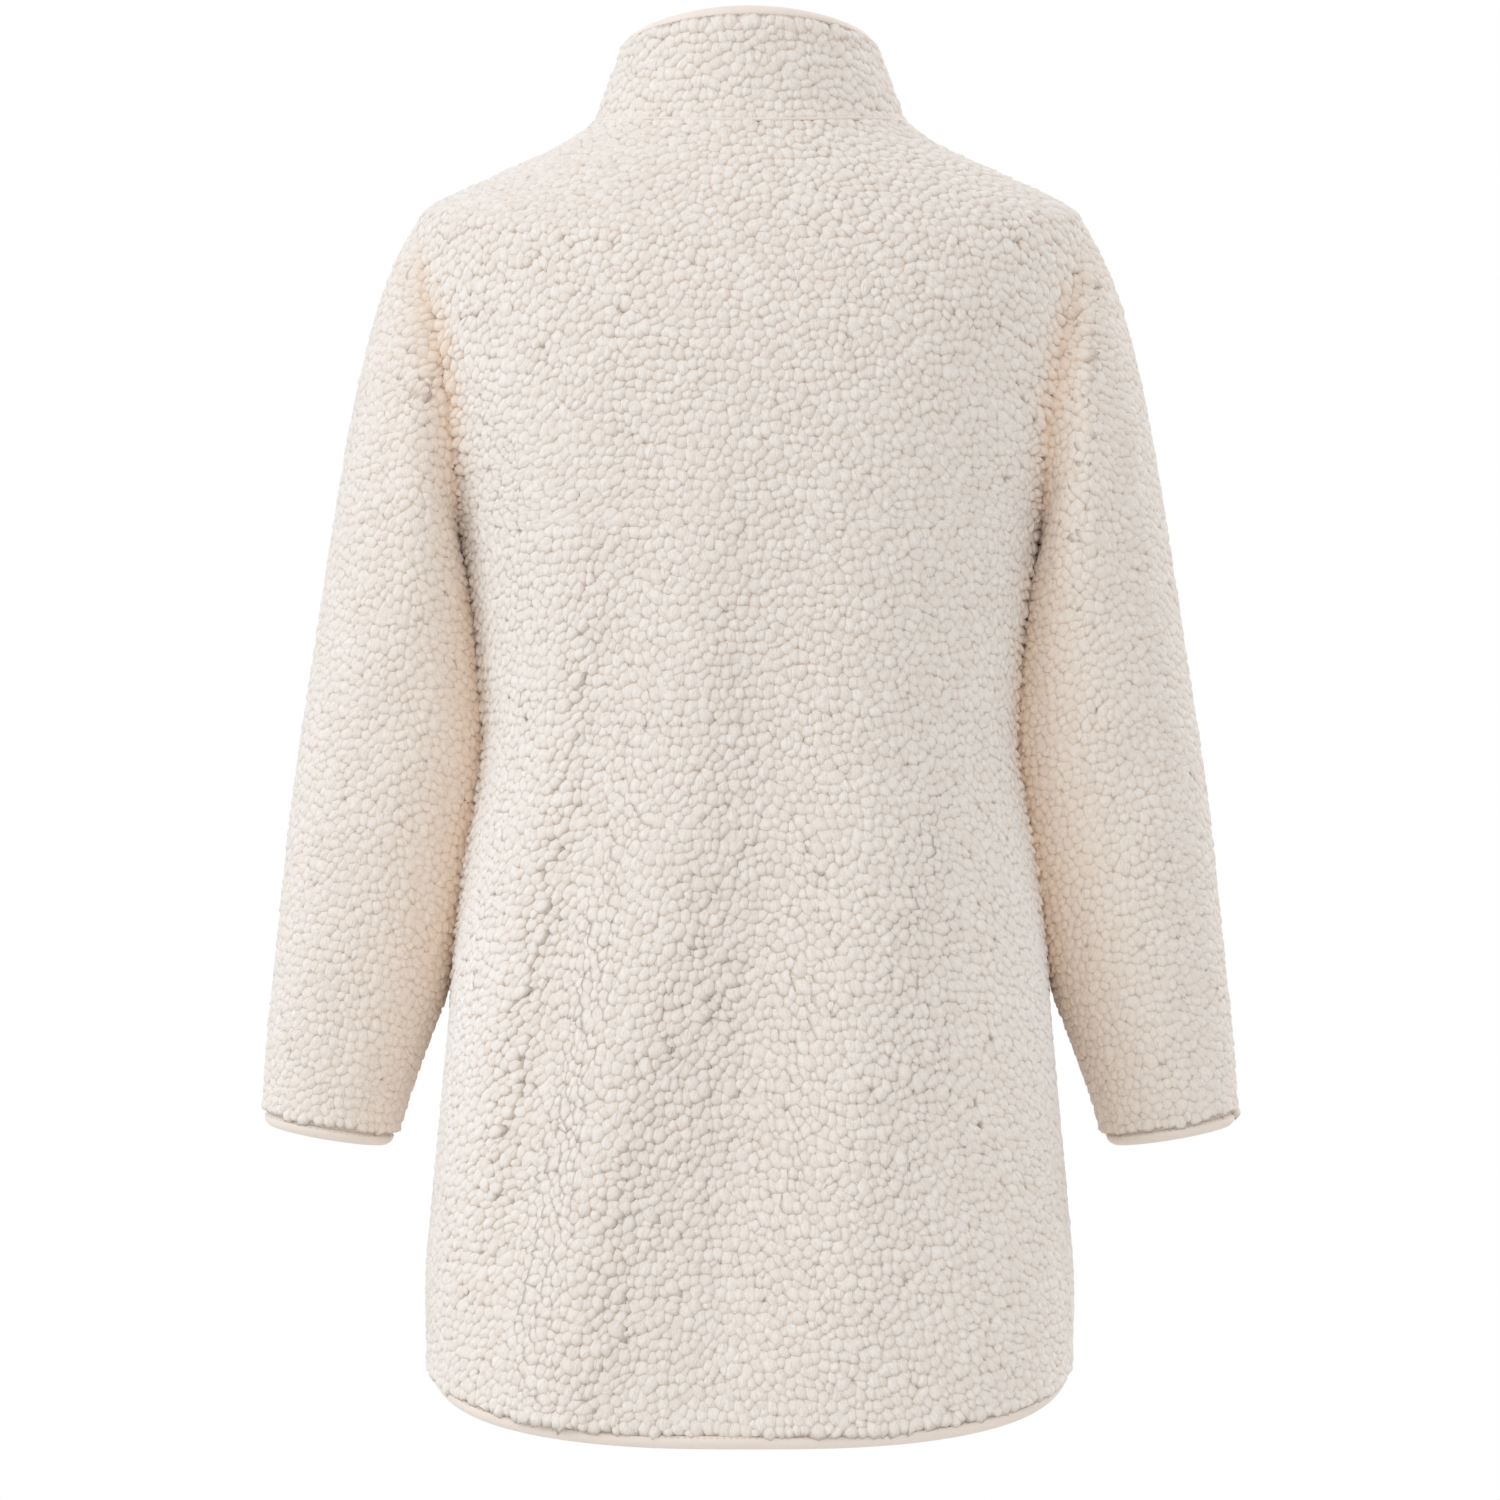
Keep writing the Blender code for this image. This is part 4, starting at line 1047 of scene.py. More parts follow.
def settle(centres, axes, posts, near, sizes, measures):
    """Push two curls apart along the cloth while they are nearer than their mean size."""
    apart = ELBOW_ROOM * (sizes[:len(centres), None] + sizes[near])[..., None] / 2
    for _ in range(SETTLE_ROUNDS):
        steps = steps_to(centres, axes, np.concatenate([centres, posts]), near)
        gap = np.sqrt(np.einsum("nka,nkab,nkb->nk", steps, measures, steps))[..., None]
        far = np.maximum(np.linalg.norm(steps, axis=-1, keepdims=True), NO_DISTANCE)
        push = np.clip(apart - gap / CURL_PITCH, 0, None) * steps / far
        move = -SETTLE_STEP * CURL_PITCH * push.sum(axis=1)
        centres = centres + np.einsum("na,nac->nc", move, axes[:, :2])
    return centres


# %% [markdown]
# ### Shape of the curls
# A settled curl is a dome with seven sides, cut where its neighbours begin. Some
# pairs pass that border, as curls that have grown together do. The dome leans
# down the cloth and its lower side stands higher, so that the curls lie over
# each other like scales and throw small shadows.

# %% Shape of the curls
CURL_SIDES = 7
CURL_HEIGHT = 0.0031
HEIGHTS = (0.88, 1.10)       # lowest and highest curl, as shares of that
NEAREST_BORDER = 0.22        # curl pitches from a curl's middle to its border, at least
FARTHEST_BORDER = 1.1        # and at most
SIDEWAYS = 0.1               # neighbours less ahead than this set no border
JOINED = 0.16                # share of the pairs that have grown together
JOINED_REACH = 1.45          # how far those pass their border
GOLDEN_SHARE = 0.618034      # spreads the pairs' numbers evenly between 0 and 1
LEAN_ACROSS = 0.12           # spread of the lean across, as a share of the curl's room
LEAN_DOWN = 0.28             # largest lean down
SHOULDER_LEAN = 0.6          # how much of the apex's lean a ring takes, by its height
TILT = 0.20                  # how much the lower side stands above the upper one
# share of the curl's room, share of its height, tone from the painted crevice shade 0 to the
# top 1
CURL_RINGS = ((1.80, 0.04, 0.0), (0.80, CURL_SHOULDER, CURL_SHOULDER))


def curl_rooms(centres, axes, posts, near, sizes, measures, angle):
    """How far each curl reaches in each direction before it meets a neighbour.

    With a neighbour at step v, the border in direction u is at
    (v.Mv + a^2 - b^2) / (2 u.Mv), where M is the pair's matrix and a and b are
    the two curls' radii. Two curls that have grown together pass their border.
    """
    steps = steps_to(centres, axes, np.concatenate([centres, posts]), near)
    seen = np.einsum("nkab,nkb->nka", measures, steps)
    share = (sizes * CURL_PITCH / 2) ** 2
    rays = np.stack([np.cos(angle), np.sin(angle)], axis=-1)
    toward = np.einsum("nka,nsa->nks", seen, rays)
    square = np.sum(seen * steps, axis=-1) + share[:len(centres), None] - share[near]
    meets = toward > SIDEWAYS * CURL_PITCH
    ahead = 2 * np.maximum(toward, NO_DISTANCE)
    border = np.where(meets, square[..., None] / ahead, 1.0)
    pair = (np.arange(len(centres))[:, None] + near) * GOLDEN_SHARE % 1
    joined = (pair < JOINED) & (near < len(centres))
    border = border * np.where(joined, JOINED_REACH, 1.0)[..., None]
    room = np.clip(border.min(axis=1), NEAREST_BORDER * CURL_PITCH,
                   FARTHEST_BORDER * CURL_PITCH)
    return room[..., None] * rays


def curl_shapes(rooms, tall, chance):
    """Domes of (copies, corners, 3): a buried rim, a ring of shoulders and an apex.

    A ring is the outline of the curl's room times a share. The dome leans
    downwards and its lower side stands higher, so that it lies over the next one
    as a scale does, as in a pile that has been combed.
    """
    count = len(rooms)
    height = (CURL_HEIGHT * tall * chance.uniform(*HEIGHTS, count))[:, None]
    reach = np.linalg.norm(rooms, axis=-1)
    size = reach.mean(axis=1)[:, None]
    lean = size * np.column_stack([chance.normal(0.0, LEAN_ACROSS, count),
                                   chance.uniform(0.0, LEAN_DOWN, count)])
    rings = []
    for share, level, _ in CURL_RINGS:
        outline = rooms * share + lean[:, None] * level * SHOULDER_LEAN
        rings.append(np.dstack([outline, height * (level + TILT * rooms[..., 1] / reach)]))
    apex = np.dstack([lean[:, None], height[:, None]])
    return np.concatenate([*rings, apex], axis=1)


def curl_faces():
    """A ring of quads, a fan of triangles to the apex and one face below."""
    side = np.arange(CURL_SIDES)
    following = (side + 1) % CURL_SIDES
    ring = np.stack([side, following, following + CURL_SIDES, side + CURL_SIDES], axis=-1)
    fan = np.stack([side + CURL_SIDES, following + CURL_SIDES,
                    np.full(CURL_SIDES, 2 * CURL_SIDES)], axis=-1)
    return [ring, fan, side[None, ::-1]]


def stamp(shapes, faces, centres, axes):
    """Copies of a small shape: centre plus each corner carried along the copy's axes."""
    points = centres[:, None] + np.einsum("nkc,ncd->nkd", shapes, axes)
    shift = (np.arange(len(centres)) * shapes.shape[1])[:, None, None]
    return points, [(block[None] + shift).reshape(-1, block.shape[1]) for block in faces]


# %% [markdown]
# ### Folds beside the arms
# Where an arm hangs beside the body, the two piles meet in a long fold. The
# pile in it stands taller, because the cloth presses it up, and has a painted tan
# shade. The last of the body's pile before it leans out over it and is painted
# nearly white, as painted light. Beside a binding the pile stands taller too,
# where the stitches gather it.

# %% Pile beside the arms and the bindings
FRINGE = 0.30                # how much taller the pile stands beside a binding
FRINGE_WIDTH = 0.012
FRINGE_STEPS = 4             # parts that each step of a bound edge is measured in

ARM_FOLD_TOP = ARMHOLE_TOP - 0.01
ARM_FOLD_GROWTH = 0.08       # how far below its top the fold is whole
ARM_FOLD_WIDTHS = (0.006, 0.027)  # how far the painted tan shade reaches onto the sleeve, above and below
ARM_FOLD_SPREAD = 0.30       # how far below the armhole's top it has its lower width
ARM_CREST, ARM_CREST_WIDTH = 1.0, 0.009    # how much taller the sleeve's pile is, and how far
BODY_CREST, BODY_CREST_WIDTH = 1.6, 0.005  # the same of the body's pile
BODY_FOLD_SHADE = 0.5               # how strong the painted tan shade is on the body's pile, beside the sleeve's
EDGE_WIDTH = 0.016           # how far the painted light of the bright edge reaches onto the body
EDGE_BOTTOM, EDGE_FADE = -0.66, 0.10       # where it ends, and how far above it is whole
EDGE_LEAN = 0.9              # how far the pile there leans out over the arm's fold


def beside_binding(node, points, centres):
    """1 at a bound edge and 0 from the fringe's width away from it."""
    edge = points[0 if node == "collar" else -1]
    shares = np.linspace(0, 1, FRINGE_STEPS + 1)[:, None, None]
    line = (edge[:-1] + shares * np.diff(edge, axis=0)).reshape(-1, 3)
    apart = np.sqrt(np.min(np.sum((centres[:, None] - line[None]) ** 2, axis=-1), axis=1))
    return np.clip(1 - apart / FRINGE_WIDTH, 0, 1)


def arm_folds(node, centres):
    """Three numbers for each curl: how deep in the fold, as painted shade, how near the edge,
    for painted light, and how tall.

    The first two run from 0 to 1, and the third is a multiple. On a sleeve the
    painted shade is exp(-gap to the body / width), once the sleeve has left the shoulder.
    On the body it is exp(-(distance to the sleeve - width) / width), times the
    body's share of that painted shade, and the painted edge light is exp(-distance to the
    body's side / width).
    """
    below = np.clip((ARM_FOLD_TOP - centres[:, 2]) / ARM_FOLD_GROWTH, 0, 1)
    none = np.zeros(len(centres))
    if node == "collar":
        return none, none, 1 + none
    if node.startswith("sleeve"):
        gap = np.clip(np.abs(centres[:, 0]) - body_side(centres), 0, None)
        down = np.clip((ARMHOLE_TOP - centres[:, 2]) / ARM_FOLD_SPREAD, 0, 1)
        width = ARM_FOLD_WIDTHS[0] + (ARM_FOLD_WIDTHS[1] - ARM_FOLD_WIDTHS[0]) * down
        crest = below * np.exp(-gap / ARM_CREST_WIDTH)
        return below * np.exp(-gap / width), none, 1 + ARM_CREST * crest
    inset = ring_numbers(centres[:, 2])[HALF_WIDTH] - np.abs(centres[:, 0])
    above = np.clip((centres[:, 2] - EDGE_BOTTOM) / EDGE_FADE, 0, 1)
    edge = below * above * np.exp(-np.clip(inset, 0, None) / EDGE_WIDTH)
    arms = np.concatenate([grids["sleeve_left"][0], grids["sleeve_right"][0]]).reshape(-1, 3)
    steps = centres[:, None] - arms[nearest(centres, arms)]
    past = np.linalg.norm(steps, axis=-1).min(axis=1) - BODY_CREST_WIDTH
    beside = below * np.exp(-np.clip(past, 0, None) / BODY_CREST_WIDTH)
    return BODY_FOLD_SHADE * beside, edge, 1 + BODY_CREST * beside


# %% Grow the pile
STRAND_RUN = (1.0, 0.4, 0.0) # strands run down a curl: their pattern is drawn out that way
STRAND_SHIFT = 0.5           # metres; moves each curl's pattern to a place of its own
PILE_TONES = np.concatenate(
    [np.full(CURL_SIDES, tone) for _, _, tone in CURL_RINGS] + [[1.0]])


def grow_pile(node, reach, stretch, wander, comb, seed, cut_at=()):
    """The curls of one sewn piece, as one mesh or cut at the given heights into more."""
    points, normals = grids[node]
    wraps = node.startswith("sleeve")
    if wraps:
        points, normals = (
            np.concatenate([part, part[:, :1]], axis=1) for part in (points, normals))
    chance = np.random.default_rng(seed)
    centres, axes = curl_places(points, normals, wraps, stretch, comb, seed + 1)
    posts, outward = fence(points, reach, wraps)
    near = nearest(centres, np.concatenate([centres, posts]))
    sizes = chance.uniform(*CURL_SIZES, len(centres) + len(posts))
    length = stretch * (1 if wraps else 1 + SIDE_LENGTH * away_from_centre(centres))
    measures = pair_measures(near, len(posts), length, wander, chance)
    centres = settle(centres, axes, posts, near, sizes, measures)
    inside = inside_fence(centres, posts, outward)
    angle = (np.arange(CURL_SIDES)[None] * 2 * math.pi / CURL_SIDES
             + chance.uniform(0, math.pi, (len(centres), 1)))
    rooms = curl_rooms(centres, axes, posts, near, sizes, measures, angle)
    # painted shade of the arm's fold, painted light on the body's edge, and how tall the pile
    # stands
    fold, edge, tall = arm_folds(node, centres)
    tall = tall + FRINGE * beside_binding(node, points, centres)
    away = np.sign(centres[:, 1:2]) * np.array([0.0, 1.0, 0.0])
    axes[:, 2] = unit(axes[:, 2] + EDGE_LEAN * edge[:, None] * away)
    shapes = curl_shapes(rooms, tall, chance)
    own = {"curl_shade": chance.uniform(0, 1, len(centres)),
           "painted_fold_shade": fold, "painted_edge_light": edge}
    strand = shapes * np.array(STRAND_RUN)
    strand[..., 2] = chance.uniform(0, STRAND_SHIFT, (len(centres), 1))
    base = centres - PILE_DEPTH * axes[:, 2]
    parts = np.searchsorted(-np.array(cut_at), -centres[:, 2])
    pieces = []
    for part in range(len(cut_at) + 1):
        chosen = (parts == part) & inside
        corners, blocks = stamp(shapes[chosen], curl_faces(), base[chosen], axes[chosen])
        tones = {"pile_height": np.tile(PILE_TONES, chosen.sum())}
        for key, values in own.items():
            tones[key] = np.repeat(values[chosen], len(PILE_TONES))
        tones["curl_place"] = strand[chosen].reshape(-1, 3)
        name = f"{node}_pile_{part + 1}" if cut_at else f"{node}_pile"
        pieces.append(new_piece(name, corners, blocks, PILE, attributes=tones))
    return pieces


# how far the curls spill over each kind of edge, in curl pitches
SEAM, HEM, CUFF, ZIP, NECK, COLLAR = 0.95, 0.32, -0.08, 0.35, 0.80, 0.45
# those of the top, bottom, first and last edge; how long a curl is for its width;
# how far its direction wanders and how far it is combed, in degrees; seed; cuts
PILES = {
    "back":         ((NECK, HEM, SEAM, SEAM), 1.40, 30, 42, 11, (-0.42,)),
    "front_left":   ((NECK, HEM, SEAM, ZIP), 1.40, 30, 42, 31),
    "front_right":  ((NECK, HEM, SEAM, ZIP), 1.40, 30, 42, 41),
    "collar":       ((COLLAR, COLLAR, ZIP, ZIP), 1.25, 40, 0, 51),
    "sleeve_left":  ((SEAM, CUFF), 1.60, 20, 38, 61),
    "sleeve_right": ((SEAM, CUFF), 1.60, 20, 38, 71),
}
pile = {node: grow_pile(node, *numbers) for node, numbers in PILES.items()}
print("triangles so far:", sum(made.values()))

# %% [markdown]
# ## Armhole seams
# Under the pile the body and the sleeve are sewn together, and their edges turn
# inwards. From outside only the roll of that seam could be seen, deep between
# the curls of the two pieces. A round profile carried along the armhole is
# enough for it.

# %% Armhole rolls
ROLL_RADIUS = 0.0022
ROLL_DEPTH = 0.0036
ROLL_SIDES = 8


def round_tube(middle, across, out, sides):
    """Points round a line: middle + cos(angle) * across + sin(angle) * out."""
    angle = np.arange(sides)[:, None, None] * 2 * math.pi / sides
    return middle[None] + np.cos(angle) * across[None] + np.sin(angle) * out[None]


def tube_faces(sides, columns, wraps):
    """Quads of a tube whose profile is closed; an open tube gets a cap at both ends."""
    blocks = [grid_faces(sides, columns, True, wraps)]
    if not wraps:
        cap = np.arange(sides)[None, :] * columns
        blocks += [cap, cap[:, ::-1] + columns - 1]
    return blocks


def armhole_roll(word, side):
    """A ring tube along the armhole, a little below the pile's tips."""
    line, normals = armhole_ring()
    run = unit(np.roll(line, -1, axis=0) - np.roll(line, 1, axis=0))
    across = np.cross(run, normals)
    points = round_tube(line - ROLL_DEPTH * normals, ROLL_RADIUS * across,
                        ROLL_RADIUS * normals, ROLL_SIDES) * np.array([side, 1, 1])
    blocks = tube_faces(ROLL_SIDES, len(line), True)
    return new_piece(f"armhole_seam_{word}", points, blocks, BACKING)


seam_rolls = {"sleeve_left": armhole_roll("left", +1),
              "sleeve_right": armhole_roll("right", -1)}

# %% [markdown]
# ## Bindings
# The collar's edge, the cuffs and the hem are bound with a strip of smooth
# jersey, folded round the raw edge. It is a soft roll, thinner than the sherpa,
# so it stands back a little from the pile on both sides. Its profile is a closed
# loop that is carried along the edge, and a gentle pucker keeps it from looking
# like a moulded pipe.

# %% Jersey material
JERSEY_RIB = 0.0008          # width of one knitted rib

# folded polyester jersey: smoother and a little pinker than the pile
JERSEY = textile(
    "polyester_jersey_binding", "#F1E6DD", ("#EDE1D7", "#F4EAE2"), (0.25, 0.0002),
    [("ShaderNodeTexVoronoi", "Distance", {"Scale": 1 / JERSEY_RIB}, {}),
     ("ShaderNodeTexNoise", "Fac", {"Scale": 45.0, "Detail": 3.0}, {})],
    Roughness=0.55, Sheen_Weight=0.15, Sheen_Roughness=0.4, Specular_IOR_Level=0.35)
print(JERSEY.name)

# %% Bands along an edge
BINDING_HEIGHT = 0.0080
COLLAR_BINDING_HEIGHT = 0.0068
COLLAR_BINDING_COLUMNS = 180
HEM_BINDING_COLUMNS = 330
EDGE_STEP = 0.002            # metres back from an edge, to see where it is heading
PUCKER_WAVES = 6
PUCKER_LENGTHS = (5, 15)     # shortest and longest wave, in columns
PUCKER_HEIGHT = 0.00016
PUCKER_DEPTH = 0.0035        # points of the profile that lie deeper than this keep still
# share of the height along the cloth, depth below the pile's tips
BAND_PROFILE = np.array([
    (0.00, 0.0032), (0.05, 0.0026), (0.14, 0.0020), (0.30, 0.0017), (0.48, 0.0019),
    (0.65, 0.0025), (0.81, 0.0035), (0.94, 0.0046), (1.00, 0.0055), (0.96, 0.0060),
    (0.50, 0.0060), (0.20, 0.0058), (0.00, 0.0056)])


def pucker(count, seed):
    """Small uneven waves: a sum of sines with random phases and lengths."""
    chance = np.random.default_rng(seed)
    place = np.arange(count)[:, None]
    length = chance.uniform(*PUCKER_LENGTHS, PUCKER_WAVES)[None, :]
    phase = chance.uniform(0, 2 * math.pi, PUCKER_WAVES)[None, :]
    return np.sin(2 * math.pi * place / length + phase).sum(axis=1) / PUCKER_WAVES


def bind(node, edge, run, normals, height, wraps, seed):
    """A jersey band that carries on from an edge along run, in place of its solid."""
    waves = pucker(len(edge), seed)[None, :, None]
    along = BAND_PROFILE[:, :1, None] * height
    depth = BAND_PROFILE[:, 1:, None]
    depth = depth + PUCKER_HEIGHT * waves * (depth < PUCKER_DEPTH)
    points = edge[None] + run[None] * along - normals[None] * depth
    blocks = tube_faces(len(BAND_PROFILE), len(edge), wraps)
    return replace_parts(new_piece(f"{node}_jersey", points, blocks, JERSEY), node)


def line_round(z_side, columns):
    """Side heights and angles of a line round the body, from one zip edge to the other."""
    turn = ring_turns(np.array([z_side]), columns)
    return np.full_like(turn, z_side), turn


def body_edge(ring, upwards, columns):
    """The collar's or hem's edge, the direction beyond it, and the normals there."""
    level, turn = line_round(RINGS[ring][0], columns)
    step = EDGE_STEP if upwards else -EDGE_STEP
    edge = body_point(level, turn)[0]
    run = square_at_zip(edge - body_point(level - step, turn)[0], ZIP_EDGES)
    normals = square_at_zip(body_normals(level, turn)[0], ZIP_EDGES)
    return edge + run * SEAM_GAP / 2, run, normals


def cuff_edge(node):
    """The same at the end of a sleeve."""
    points, normals = grids[node]
    run = unit(points[-1] - points[-2])
    return points[-1] + run * SEAM_GAP, run, normals[-1]


edges = {
    "collar_binding": (*body_edge("collar edge", True, COLLAR_BINDING_COLUMNS),
                       COLLAR_BINDING_HEIGHT, False),
    "hem_binding": (*body_edge("hem", False, HEM_BINDING_COLUMNS), BINDING_HEIGHT, False),
    "cuff_binding_left": (*cuff_edge("sleeve_left"), BINDING_HEIGHT, True),
    "cuff_binding_right": (*cuff_edge("sleeve_right"), BINDING_HEIGHT, True),
}
FIRST_BAND_SEED = 81
bands = {node: bind(node, *edge, seed)
         for seed, (node, edge) in enumerate(edges.items(), FIRST_BAND_SEED)}

# %% [markdown]
# ## Stitches
# Each band is held by a line of lockstitch beside the pile, and the neck seam by
# another. A stitch is a short thread that dips into the cloth at both ends, so a
# spindle of a few faces is enough, repeated along the edge.

# %% Thread material
# spun polyester sewing thread: twisted, so it has fine slanted ridges
THREAD = textile(
    "spun_polyester_thread", "#E9DDD2", ("#D9CABC", "#EFE5DB"), (0.3, 0.0001),
    [("ShaderNodeTexWave", "Fac", {"Scale": 900.0, "Distortion": 1.0},
      {"bands_direction": "DIAGONAL"})],
    Roughness=0.6, Specular_IOR_Level=0.35)
print(THREAD.name)

# %% Rows of stitches
STITCH_PITCH = 0.0038
STITCH_LENGTH = 0.0029
STITCH_RADIUS = 0.00035
STITCH_SIDES = 6
STITCH_BODY = 0.6            # share of the stitch's length between its two rings
HEADING_STEP = 0.0005        # metres before and behind, to see where the line is heading


def stitch_shape():
    """A spindle: an end, two rings of six corners and an end; the ends dip down."""
    angle = np.arange(STITCH_SIDES) * 2 * math.pi / STITCH_SIDES
    ring = np.stack([np.zeros(STITCH_SIDES), np.cos(angle), np.sin(angle)], axis=-1)
    ring = ring * STITCH_RADIUS
    reach = np.array([[STITCH_LENGTH / 2, 0, 0]])
    dip = np.array([[0, 0, -2 * STITCH_RADIUS]])
    body = STITCH_BODY * reach
    return np.concatenate([dip - reach, ring - body, ring + body, dip + reach])


def stitch_faces():
    """Fans at both ends and quads between the rings."""
    side = np.arange(STITCH_SIDES)
    following = (side + 1) % STITCH_SIDES
    first, second = 1 + side, 1 + STITCH_SIDES + side
    first_next, second_next = 1 + following, 1 + STITCH_SIDES + following
    start, end = np.zeros_like(side), np.full_like(side, 1 + 2 * STITCH_SIDES)
    return [np.stack([start, first_next, first], axis=-1),
            np.stack([first, first_next, second_next, second], axis=-1),
            np.stack([second, second_next, end], axis=-1)]


def sew(name, line, normals, closed=False):
    """Stitches at even steps along a line, with the thread's turn as the local x."""
    if closed:
        line, normals = (np.concatenate([part, part[:1]]) for part in (line, normals))
    run = distances(line)
    count = int(run[-1] / STITCH_PITCH)
    along = (np.arange(count) + 0.5) * run[-1] / count
    centre, out = read_line(line, run, along), read_line(normals, run, along)
    heading = unit(read_line(line, run, along + HEADING_STEP)
                   - read_line(line, run, along - HEADING_STEP))
    out = unit(out - np.sum(out * heading, axis=-1, keepdims=True) * heading)
    axes = np.stack([heading, np.cross(out, heading), out], axis=1)
    shapes = np.repeat(stitch_shape()[None], count, axis=0)
    points, blocks = stamp(shapes, stitch_faces(), centre, axes)
    return new_piece(name, points, blocks, THREAD)


STITCH_FROM_EDGE = 0.0011    # from the pile's edge, at the foot of the band
STITCH_DEPTH = 0.0021        # below the pile's tips
stitching = {
    node: sew(f"{node}_stitching", edge + run * STITCH_FROM_EDGE - normals * STITCH_DEPTH,
              normals, wraps)
    for node, (edge, run, normals, _, wraps) in edges.items()}

# %% [markdown]
# ## Neck seam
# Where the collar joins the body, the seam allowances are pressed up and make a
# thin welt across the pile, with one row of stitches just under it. The welt is
# a small round profile carried round the neck from one side of the zip to the
# other.

# %% Neck welt
WELT_RADIUS = 0.0010
WELT_RISE = 1.3              # how much higher the welt is than wide
WELT_DEPTH = 0.0006          # its middle, below the pile's tips
WELT_WAVES = 0.14            # how much its thickness varies
WELT_SEED = 91
WELT_SIDES = 8
NECK_COLUMNS = 150
NECK_STITCHES_BELOW = 0.0026
NECK_STITCHES_DEPTH = 0.0001


def neck_line(z_side):
    """Points and normals round the neck at one side height."""
    level, turn = line_round(z_side, NECK_COLUMNS)
    return body_point(level, turn)[0], square_at_zip(body_normals(level, turn)[0], ZIP_EDGES)


def neck_welt():
    """A tube whose thickness varies gently, across the seam and out of the cloth."""
    line, normals = neck_line(RINGS["neck seam"][0])
    upward = unit(neck_line(RINGS["neck seam"][0] + EDGE_STEP / 2)[0] - line)
    thick = WELT_RADIUS * (1 + WELT_WAVES * pucker(len(line), WELT_SEED))[:, None]
    points = round_tube(line - WELT_DEPTH * normals, thick * upward,
                        WELT_RISE * thick * normals, WELT_SIDES)
    blocks = tube_faces(WELT_SIDES, len(line), False)
    return new_piece("neck_seam_welt", points, blocks, JERSEY)


welt = neck_welt()
seam_line, seam_normals = neck_line(RINGS["neck seam"][0] - NECK_STITCHES_BELOW)
neck_stitching = sew("neck_seam_stitching",
                     seam_line - NECK_STITCHES_DEPTH * seam_normals, seam_normals)

# %% [markdown]
# ## Zip
# The photograph doesn't show the front. A jacket of this kind closes with a
# moulded zip up to the collar, in the colour of the cloth. Two woven tapes carry
# the teeth, which mesh in the middle, and the slider stands just under the
# collar's edge with its pull tab hanging down.

# %% Zip materials
TAPE_RIB = 0.0007            # width of one rib across the tape
WAVE_LENGTH = 2 * math.pi / 20  # of a wave texture at a scale of 1

# woven polyester tape: firm, with fine ribs across and a slight gloss
TAPE = textile(
    "woven_polyester_zip_tape", "#E4D6C8", ("#D6C6B6", "#E9DDD1"), (0.5, 0.0002),
    [("ShaderNodeTexWave", "Fac", {"Scale": WAVE_LENGTH / TAPE_RIB, "Distortion": 0.4},
      {"bands_direction": "Z"})],
    Roughness=0.7, Specular_IOR_Level=0.3)


def moulded_acetal():
    """Moulded acetal teeth: smooth, faintly waxy, with a soft highlight."""
    material, tree, shader = start_material(
        "moulded_acetal_teeth", "#EADFD3", Roughness=0.34, IOR=1.48)
    place = add_node(tree, "ShaderNodeTexCoord")
    grain = add_node(tree, "ShaderNodeTexNoise", {"Scale": 700.0, "Detail": 2.0},
                     {"Vector": place.outputs["Object"]})
    bump = add_node(tree, "ShaderNodeBump", {"Strength": 0.12, "Distance": 0.0001},
                    {"Height": grain.outputs["Fac"]})
    tree.links.new(bump.outputs["Normal"], shader.inputs["Normal"])
    return material


def plated_zinc():
    """Die-cast zinc with satin nickel plate: grey, bright, slightly uneven gloss."""
    material, tree, shader = start_material(
        "nickel_plated_die_cast_zinc", "#C9C5BE", Metallic=1.0, Roughness=0.3)
    place = add_node(tree, "ShaderNodeTexCoord")
    wear = add_node(tree, "ShaderNodeTexNoise", {"Scale": 260.0, "Detail": 5.0},
                    {"Vector": place.outputs["Object"]})
    gloss = add_node(tree, "ShaderNodeMapRange", {"To Min": 0.22, "To Max": 0.42},
                     {"Value": wear.outputs["Fac"]})
    tree.links.new(gloss.outputs["Result"], shader.inputs["Roughness"])
    bump = add_node(tree, "ShaderNodeBump", {"Strength": 0.08, "Distance": 0.0001},
                    {"Height": wear.outputs["Fac"]})
    tree.links.new(bump.outputs["Normal"], shader.inputs["Normal"])
    return material


ACETAL, METAL = moulded_acetal(), plated_zinc()
print(TAPE.name, ACETAL.name, METAL.name)

# %% Tapes
ZIP_TAPE_DEPTH = 0.0032      # below the pile's tips
ZIP_TAPE_THICKNESS = 0.0012
ZIP_END_MARGIN = 0.0030
TAPE_LINES = 260


def front_line(z_side):
    """Centre-front points and their outward normals."""
    turn = np.full_like(z_side, -math.pi / 2)
    return body_point(z_side, turn), body_normals(z_side, turn)


zip_rows = np.linspace(
    RINGS["collar edge"][0] + COLLAR_BINDING_HEIGHT - ZIP_END_MARGIN,
    RINGS["hem"][0] - BINDING_HEIGHT + ZIP_END_MARGIN, TAPE_LINES)
# side offset as a share of the tape's width, height of its face in metres
TAPE_PROFILE = np.array([(0.02, 0.0000), (0.04, 0.00035), (0.22, 0.0004), (0.30, 0.0),
                         (0.90, 0.0), (1.0, -0.0002)])


